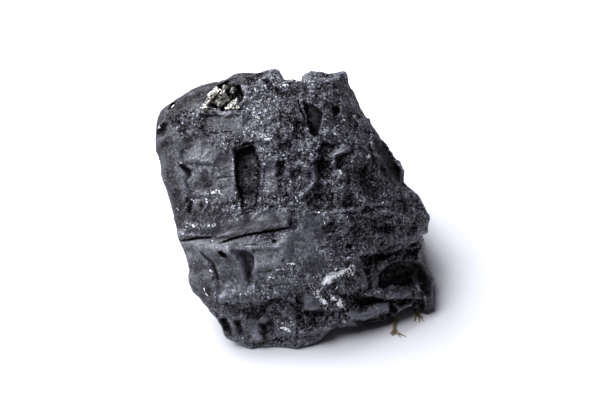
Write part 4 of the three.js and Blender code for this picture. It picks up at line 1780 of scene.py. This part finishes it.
@dataclass
class CoalLump:
    """The coal, cast from the CAD solid and broken by the listed strokes.

    Attributes:
        coarse: The clay's cell while the forms are worked, in mm.
        fine: Its cell while the marks and the grain are worked, in mm.
        most_faces: The number of triangles left at the end.
        sharp: The angle over which an edge stays sharp, in degrees.
        joined: How close two points of the CAD solid lie to be one, in mm.
        knaps: The shell-shaped chips struck off the hidden sides.
        front: From which to which w of its direction a point passes from a side to the broad face.
        free: From which to which depth inside the outline, in mm, the chips grow to full depth.
        worn: The share of the chips and swells that a rough zone of the broad face takes.
        swell: The width and height, in mm, of the swells of the broad face.
        grains: The broken grain of the rough zones, from the largest.
        crumbs: The width and depth, in mm, of the crumbs between the grains.
        patchy: The width, in mm, and strength of the clouds in which the grain is coarser, and its
            usual share.
        rim: From which to which depth inside the outline, in mm, the grain grows to its full height.
        rim_grain: The share of the grain that is left at the outline.
        grain_share: The share of it on a cleavage face, and the share that a rough zone adds.
        ripple: The width and height, in mm, of the ripples on a cleavage face.
        bed: The usual thickness of a bed, in mm.
        bed_step: How far one bed stands out over the next, in mm.
        bed_dip: How much a bed rises per mm of u.
        bed_bend: The width and height, in mm, of the bends of the beds.
        bed_swell: The width and height, in mm, of the swells in their thickness.
        bed_seam: The share of a bed's thickness over which it passes into the next.
        dull: From which to which random number a bed on a hidden side is dull.
        blur: The width, in mm, and strength of the clouds that blur the dull beds.
        side: How rough a hidden side is, and how much rougher where it is dull.
        polish: The share of the roughness that a smooth band takes away.
        crest: From which to which v and u, in mm, the split crest behind the broad face is broken.
        carve: From which to which w, in mm, cutting back comes to leave the outline as it is.
        carve_to: From which to which u, in mm, that comes to an end.
        hollows: For the tight and the wide hollows, the rounds that find them and the depth, in mm,
        at which they take full painted shade.
    """

    coarse: float = 0.42
    fine: float = 0.26
    most_faces: int = 194_000
    sharp: float = 28.0
    joined: float = 0.002
    knaps: tuple[Grain, ...] = (Grain(9.5, 0.5, 2.6, 5), Grain(4.6, 0.4, 1.5, 23))
    front: Point2 = (-0.1, 0.35)
    free: Point2 = (0.3, 3.2)
    worn: float = 0.35
    swell: Point2 = (6.5, 1.4)
    grains: tuple[Grain, ...] = (
        Grain(2.6, 0.1, 0.26, 101),
        Grain(1.3, 0.07, 0.2, 131),
        Grain(0.75, 0.05, 0.17, 151),
    )
    crumbs: tuple[Point2, ...] = ((2.2, 0.2), (1.2, 0.2), (0.7, 0.16))
    patchy: Point3 = (6.0, 0.6, 0.8)
    rim: Point2 = (0.3, 2.4)
    rim_grain: float = 0.45
    grain_share: Point2 = (0.07, 0.93)
    ripple: Point2 = (1.8, 0.03)
    bed: float = 2.6
    bed_step: float = 0.9
    bed_dip: float = 0.06
    bed_bend: Point2 = (18.0, 1.3)
    bed_swell: Point2 = (7.0, 1.6)
    bed_seam: float = 0.16
    dull: Point2 = (0.42, 0.58)
    blur: Point2 = (11.0, 0.25)
    side: Point2 = (0.14, 0.7)
    polish: float = 0.88
    crest: tuple[Point2, Point2] = ((60, 64), (10, 4))
    carve: Point2 = (-8.5, -12.0)
    carve_to: Point2 = (16.0, 8.0)
    hollows: tuple[tuple[int, float], ...] = ((8, 0.12), (70, 0.9))

    def build(self) -> Piece:
        """Makes the coal's mesh.

        Returns:
            The finished object, at the origin.
        """
        obj = self.cast()
        finish_with(obj, "REMESH", mode="VOXEL", voxel_size=self.coarse * MM)
        clay = Clay(obj)
        for stroke in SPLITS:
            stroke.work(clay)
        clay.store()
        self.knap(clay)
        for stroke in FORMS:
            stroke.work(clay)
            clay.store()
        finish_with(obj, "REMESH", mode="VOXEL", voxel_size=self.fine * MM)
        drop_loose(obj)
        clay = Clay(obj)
        for stroke in MARKS:
            stroke.work(clay)
        clay.store()
        self.crumble(clay)
        self.settle(clay)
        finish_with(obj, "DECIMATE", ratio=min(1.0, self.most_faces / triangles(obj)))
        smooth_shade(obj, self.sharp)
        return obj

    def dress(self, obj: Piece) -> None:
        """Gives the coal its finish and puts it in the CAD solid's place.

        Args:
            obj: The coal.
        """
        self.note_finish(obj)
        obj.data.materials.clear()
        obj.data.materials.append(BrokenCoal().make())
        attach(obj, "root")
        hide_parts(COAL_NODE)

    def cast(self) -> Piece:
        """Copies the CAD solid.

        Returns:
            The copy, with its loose triangles merged.
        """
        obj = bpy.data.objects.new("coal", frame["nodes"][COAL_NODE].data.copy())
        bpy.context.collection.objects.link(obj)
        weld(obj, self.joined)
        return obj

    def knap(self, clay: Clay) -> None:
        """Strikes shell-shaped chips off the hidden sides and steps their bedding.

        Args:
            clay: The mesh that is worked.
        """
        out = clay.calm_normals(rounds=6)
        front = step(*self.front, out[:, 2])
        free = step(*self.free, Outline(clay.points).margin(clay.points))
        lift = sum(grain.lift(clay.points) for grain in self.knaps)
        lift += (self.bedding(clay.points) - 0.5) * self.bed_step * (1 - front)
        # behind the rim the lump may be cut back without changing its outline
        behind = step(*self.carve, clay.points[:, 2]) * step(*self.carve_to, clay.points[:, 0])
        share = (1 - front) * np.maximum(free, behind * (lift < 0))
        share += front * self.worn * self.roughness(clay)
        lift += front * (self.swell[1] * cloud(clay.points, self.swell[0], seed=421, octaves=2))
        clay.points += out * (clay.relaxed(lift, rounds=1) * clay.relaxed(share, rounds=3))[:, None]
        clay.store()

    def bedding(self, points: Array) -> Array:
        """Divides the lump into beds of uneven thickness.

        Args:
            points: Where, in mm.

        Returns:
            A random number from 0 to 1 for the bed each point is in, blended where beds meet.
        """
        height = points[:, 1] + self.bed_dip * points[:, 0]
        height += self.bed_bend[1] * cloud(points, self.bed_bend[0], seed=401)
        height += self.bed_swell[1] * cloud(np.outer(height, [1, 0, 0]), self.bed_swell[0], seed=407)
        count = height / self.bed
        beds = np.outer(np.floor(count), [1, 0, 0])
        this, following = (lattice(bed, seed=411) for bed in (beds, beds + [1, 0, 0]))
        return this + (following - this) * step(1 - self.bed_seam, 1.0, count % 1)

    def crumble(self, clay: Clay) -> None:
        """Breaks the rough zones into crumbs and lays faint ripples over the smooth ones.

        Args:
            clay: The mesh that is worked.
        """
        out = clay.calm_normals(rounds=2)
        rough = self.roughness(clay)
        uneven = self.patchy[2] + self.patchy[1] * cloud(clay.points, self.patchy[0], seed=91)
        # the outline stays calmer than the middle of the face
        margin = clay.relaxed(Outline(clay.points).margin(clay.points), rounds=3)
        calm = self.rim_grain + (1 - self.rim_grain) * step(*self.rim, margin)
        lift = sum(grain.lift(clay.points) for grain in self.grains)
        for size, depth in self.crumbs:
            lift += (np.abs(cloud(clay.points, size, seed=141)) - 0.4) * depth
        lift *= (self.grain_share[0] + self.grain_share[1] * rough * uneven) * calm
        ripple = cloud(clay.points, self.ripple[0], seed=77, octaves=2)
        lift += self.ripple[1] * ripple * (1 - rough)
        clay.points += out * lift[:, None]
        clay.store()

    def roughness(self, clay: Clay) -> Array:
        """How broken the surface is.

        Args:
            clay: The mesh that is worked.

        Returns:
            A value for each point, from 0 on a cleavage face to 1 in the grain.
        """
        front = step(0.0, 0.3, clay.relaxed(clay.out, rounds=6)[:, 2])
        u, v, _ = clay.points.T
        smooth = np.max([patch.share(clay.points) for patch in SMOOTH_BANDS], axis=0)
        blur = self.blur[1] * cloud(clay.points, self.blur[0], seed=201)
        dull = step(*self.dull, self.bedding(clay.points) + blur)
        crest = step(*self.crest[0], v) * step(*self.crest[1], np.abs(u))
        side = self.side[0] + self.side[1] * np.maximum(dull, crest)
        return front * (1 - self.polish * smooth) + (1 - front) * side

    def settle(self, clay: Clay) -> None:
        """Keeps the lump inside the box of its CAD solid and flat on the ground.

        Args:
            clay: The mesh that is worked.
        """
        low, high = np.array(CAD_BOX[0]), np.array(CAD_BOX[1])
        clay.points = FACE.to_face(np.clip(FACE.to_row(clay.points), low, high))
        clay.store()

    def note_finish(self, obj: Piece) -> None:
        """Stores what the finish reads at each point: grain, relief for painted shade and highlight,
        calcite and painted glints, and painted light.

        Args:
            obj: The coal.
        """
        clay = Clay(obj)
        rough = self.roughness(clay)
        bend = sum(clay.bend(rounds) / depth for rounds, depth in self.hollows)
        calcite_and_painted_glint = np.max([fleck.share(clay.points) for fleck in CALCITE_AND_PAINTED_GLINTS], axis=0)
        tone = sum(patch.share(clay.points) for patch in PAINTED_LIGHT_AND_TONES)
        keep(obj, Layer.GRAIN, rough)
        # painted shade and highlight: the relief falls in a hollow and rises on an edge, and the finish
        # darkens and lightens the coal by it
        keep(obj, Layer.RELIEF, np.clip(0.5 - 0.25 * bend * (0.5 + 0.5 * rough), 0, 1))
        # white calcite, and small white spots of painted glint
        keep(obj, Layer.CALCITE_AND_PAINTED_GLINTS, calcite_and_painted_glint * step(0.0, 0.25, clay.out[:, 2]))
        # painted shade and painted highlights from the patches, with the coal's own darker and paler zones
        keep(obj, Layer.TONE, 0.5 + 0.5 * tone * step(-0.4, -0.2, clay.out[:, 2]))


# ---- the nest of crystals ----


@dataclass(frozen=True)
class Crystal:
    """One crystal: its middle and edges in mm, its turns about u, v and w in degrees."""

    at: Point3
    edges: Point3
    turns: Point3

    def grow(self) -> Piece:
        """Makes the crystal.

        Returns:
            A block of its size in its place, with the place in its mesh.
        """
        bpy.ops.mesh.primitive_cube_add(size=MM)
        block = bpy.context.object
        turns = Euler([math.radians(t) for t in self.turns]).to_matrix().to_4x4()
        place = Matrix.Translation(FACE.vector(*self.at)) @ FACE.turn()
        block.matrix_world = place @ turns @ Matrix.Diagonal((*self.edges, 1))
        bpy.ops.object.transform_apply(location=True, rotation=True, scale=True)
        return block


@dataclass
class PyriteNest:
    """The crystals that fill the pocket near the top.

    Attributes:
        crystals: The blocks that have grown into each other.
        cell: The mesh's cell, in mm.
        sharp: The angle over which an edge stays sharp, in degrees.
        swell: The width and height, in mm, of the swells of the crystal faces.
        growth: The steps and chips of the crystal faces.
        hollow: The depth, in mm, at which a hollow takes full painted shade.
    """

    crystals: tuple[Crystal, ...] = (
        Crystal((-21.0, 64.7, -3.6), (5.6, 2.7, 1.8), (-34, 0, 44)),
        Crystal((-22.6, 62.4, -1.7), (3.6, 1.0, 2.4), (-22, -10, 50)),
        Crystal((-21.7, 63.9, -2.3), (4.6, 1.0, 2.6), (-8, -14, 47)),
        Crystal((-20.4, 64.5, -2.7), (4.2, 0.8, 2.4), (-30, 8, 50)),
        Crystal((-19.2, 64.6, -2.3), (3.8, 1.1, 2.6), (10, -16, 50)),
        Crystal((-18.5, 62.7, -2.2), (2.8, 1.0, 2.4), (-14, 14, 44)),
        Crystal((-23.0, 61.4, -0.9), (1.9, 1.2, 1.8), (20, 20, 20)),
        Crystal((-20.2, 61.0, -1.3), (2.8, 0.8, 2.0), (24, 8, -10)),
        Crystal((-17.5, 64.8, -2.2), (3.0, 0.8, 2.4), (4, 18, -62)),
        Crystal((-17.9, 67.3, -4.3), (1.0, 1.1, 1.8), (12, 20, -28)),
        Crystal((-15.5, 62.4, -0.5), (3.2, 1.3, 2.2), (34, -12, 34)),
        Crystal((-15.7, 61.5, -0.3), (3.9, 0.9, 2.0), (-20, -4, 6)),
        Crystal((-15.8, 66.5, -3.2), (0.9, 1.6, 1.8), (0, 14, -16)),
    )
    cell: float = 0.12
    sharp: float = 30.0
    swell: Point2 = (0.7, 0.08)
    growth: tuple[Grain, ...] = (Grain(1.3, 0.14, 0.2, 301), Grain(0.6, 0.084, 0.12, 311))
    hollow: float = 0.32

    def build(self) -> Piece:
        """Grows the crystals together.

        Returns:
            The finished object, at the origin.
        """
        bpy.ops.object.select_all(action="DESELECT")
        grown = [crystal.grow() for crystal in self.crystals]
        for block in grown:
            block.select_set(True)
        bpy.context.view_layer.objects.active = grown[0]
        bpy.ops.object.join()
        nest = bpy.context.object
        nest.name = nest.data.name = "pyrite_crystals"
        bpy.ops.object.origin_set(type="ORIGIN_CURSOR")
        finish_with(nest, "REMESH", mode="VOXEL", voxel_size=self.cell * MM)
        clay = Clay(nest)
        lift = self.swell[1] * cloud(clay.points, self.swell[0], seed=307)
        lift += sum(grain.lift(clay.points) for grain in self.growth)
        clay.points += clay.out * lift[:, None]
        clay.store()
        smooth_shade(nest, self.sharp)
        return nest

    def dress(self, nest: Piece) -> None:
        """Gives the nest its finish and puts it in the CAD solid's place.

        Args:
            nest: The crystals.
        """
        # painted shade: the deeper a hollow between the crystals, the darker it is painted
        keep(nest, Layer.HOLLOW, np.clip(Clay(nest).bend(rounds=8) / self.hollow, 0, 1))
        nest.data.materials.clear()
        nest.data.materials.append(Pyrite().make())
        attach(nest, "root")
        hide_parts(NEST_NODE)


# ---- the root fibres ----


@dataclass(frozen=True)
class Strand:
    """One root hair: the points along it, in the face frame, and its thickness, in mm."""

    path: tuple[Point3, ...]
    thickness: float

    def spin(self, curve: bpy.types.Curve, thinning: float) -> None:
        """Adds the strand to a curve, lying on the ground where it would sink into it.

        Args:
            curve: The curve.
            thinning: The share of its thickness that it loses towards its tip.
        """
        spline = curve.splines.new("NURBS")
        spline.points.add(len(self.path) - 1)
        spline.use_endpoint_u = True
        spline.order_u = 3
        for k, place in enumerate(self.path):
            thickness = self.thickness * (1 - thinning * k / (len(self.path) - 1))
            point = FACE.vector(*place)
            point.z = max(point.z, 0.5 * thickness * MM)
            spline.points[k].co = (*point, 1)
            spline.points[k].radius = thickness


@dataclass
class RootTufts:
    """Two wisps of root that hang out from under the lump's right end.

    Attributes:
        strands: The root hairs.
        thinning: The share of its thickness that a strand loses towards its tip.
        sharp: The angle over which an edge stays sharp, in degrees.
        joined: How close two points lie to be one, in mm.
    """

    strands: tuple[Strand, ...] = (
        Strand(((26.9, 7.8, -8.6), (26.6, 5.4, -6.7), (26.5, 3.9, -4.9), (26.0, 2.3, -2.8)), 0.95),
        Strand(((27.2, 7.6, -8.8), (26.9, 5.0, -6.3), (26.8, 3.6, -4.6), (26.7, 2.5, -3.1)), 0.75),
        Strand(((26.7, 3.9, -4.9), (27.6, 2.7, -3.4), (28.6, 2.3, -2.9), (29.6, 2.0, -2.5)), 0.5),
        Strand(((26.8, 3.4, -4.3), (27.4, 2.4, -3.0), (28.3, 1.8, -2.2)), 0.4),
        Strand(((26.5, 3.6, -4.5), (25.9, 2.9, -3.6), (25.3, 2.7, -3.4)), 0.5),
        Strand(((33.0, 9.6, -11.4), (32.8, 7.6, -9.4), (32.4, 6.6, -8.2), (32.1, 5.7, -7.2)), 0.7),
        Strand(((33.6, 9.8, -11.4), (33.4, 7.8, -9.4), (33.9, 6.8, -8.4), (34.5, 6.5, -8.2)), 0.6),
        Strand(((33.1, 7.6, -9.4), (33.4, 6.4, -7.9), (33.3, 5.5, -6.9)), 0.5),
        Strand(((33.3, 7.2, -9.0), (34.0, 6.0, -7.6), (34.6, 5.8, -7.3)), 0.4),
    )
    thinning: float = 0.55
    sharp: float = 50.0
    joined: float = 0.005

    def build(self) -> Piece:
        """Spins the strands.

        Returns:
            The finished object, at the origin.
        """
        curve = bpy.data.curves.new("root_fibres", "CURVE")
        curve.dimensions = "3D"
        curve.bevel_depth = 0.5 * MM
        curve.bevel_resolution = 2
        curve.resolution_u = 8
        curve.use_fill_caps = True
        for strand in self.strands:
            strand.spin(curve, self.thinning)
        tufts = bpy.data.objects.new("root_fibres", curve)
        bpy.context.collection.objects.link(tufts)
        only(tufts)
        bpy.ops.object.convert(target="MESH")
        tufts = bpy.context.object
        weld(tufts, self.joined)
        smooth_shade(tufts, self.sharp)
        return tufts

    def dress(self, tufts: Piece) -> None:
        """Gives the fibres their finish. The CAD leaves them out, so they replace nothing.

        Args:
            tufts: The fibres.
        """
        tufts.data.materials.append(RootFibre().make())
        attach(tufts, "root")


# ---- the studio ----


@dataclass(frozen=True)
class Softbox:
    """One soft light: its place and the length of its sides in metres, and its power in watts."""

    name: str
    place: Point3
    size: float
    watts: float

    def hang(self, colour: Point3, aim: Point3) -> None:
        """Hangs the light, turned to the lump.

        Args:
            colour: Its colour.
            aim: The point that it is turned to, in metres.
        """
        data = bpy.data.lights.new(self.name, "AREA")
        data.shape = "SQUARE"
        data.size = self.size
        data.energy = self.watts
        data.color = colour
        lamp = bpy.data.objects.new(self.name, data)
        lamp.location = self.place
        lamp.rotation_euler = (Vector(aim) - Vector(self.place)).to_track_quat("-Z", "Y").to_euler()
        bpy.context.collection.objects.link(lamp)


@dataclass
class Studio:
    """A pale floor, soft light from the upper left and behind, and the camera.

    Attributes:
        lights: The softboxes.
        cool: Their colour.
        lit: The point that they are turned to, in metres.
        room: The colour of the even light around.
        glow: Its strength.
        paper: The grey of the floor.
        aim: The u and v that the camera looks at, square on to the broad face, in mm.
        distance: From the face to the camera, in mm.
        lens: The camera's focal length, in mm.
        sensor: The width of its sensor, in mm.
        ground: The length of the floor's sides, in metres.
        under: How far the floor lies under the lump, in mm.
    """

    lights: tuple[Softbox, ...] = (
        Softbox("key", (-0.36, -0.01, 0.5), 0.6, 6.6),
        Softbox("back", (-0.27, 0.42, 0.53), 0.5, 7.8),
    )
    cool: Point3 = (0.89, 0.9, 1.0)
    lit: Point3 = (0.0, 0.0, 0.02)
    room: Point3 = (0.865, 0.87, 1.0)
    glow: float = 0.042
    paper: float = 0.74
    aim: Point2 = (3.4, 36.7)
    distance: float = 442.0
    lens: float = 100.0
    sensor: float = 36.0
    ground: float = 6.0
    under: float = 0.02

    def build(self) -> None:
        """Sets up the floor, the lights, the world and the camera."""
        self.floor()
        for light in self.lights:
            light.hang(self.cool, self.lit)
        self.world()
        self.camera()
        bpy.context.scene.view_settings.view_transform = "Standard"

    def floor(self) -> None:
        """Lays a matt paper sweep, which gives the eye an even pale ground with soft shadows."""
        bpy.ops.object.select_all(action="DESELECT")
        bpy.ops.mesh.primitive_plane_add(size=self.ground, location=(0, 0, -self.under * MM))
        floor = bpy.context.object
        floor.name = "floor"
        material = blank("paper_sweep_matt")
        inputs = {"Base Color": (self.paper, self.paper, self.paper, 1), "Roughness": 0.9}
        paper = add(material.node_tree, "ShaderNodeBsdfPrincipled", inputs)
        add(material.node_tree, "ShaderNodeOutputMaterial", {"Surface": paper})
        floor.data.materials.append(material)

    def world(self) -> None:
        """Fills the room with even light."""
        world = bpy.data.worlds.new("room")
        world.use_nodes = True
        tree = world.node_tree
        tree.nodes.clear()
        background = add(tree, "ShaderNodeBackground", {"Color": (*self.room, 1), "Strength": self.glow})
        add(tree, "ShaderNodeOutputWorld", {"Surface": background})
        bpy.context.scene.world = world

    def camera(self) -> None:
        """Sets up the camera, square on to the broad face."""
        data = bpy.data.cameras.new("camera")
        data.lens = self.lens
        data.sensor_width = self.sensor
        data.clip_start = 0.01
        camera = bpy.data.objects.new("camera", data)
        camera.matrix_world = Matrix.Translation(FACE.vector(*self.aim, self.distance)) @ FACE.turn()
        bpy.context.collection.objects.link(camera)
        bpy.context.scene.camera = camera


def main() -> None:
    """Builds the object, its finishes and the studio."""
    logging.basicConfig(level=logging.INFO, format="%(message)s")
    for part in (CoalLump(), PyriteNest(), RootTufts()):
        piece = part.build()
        part.dress(piece)
        log.info("%s: %d triangles", piece.name, triangles(piece))
    Studio().build()


if __name__ == "__main__":
    main()
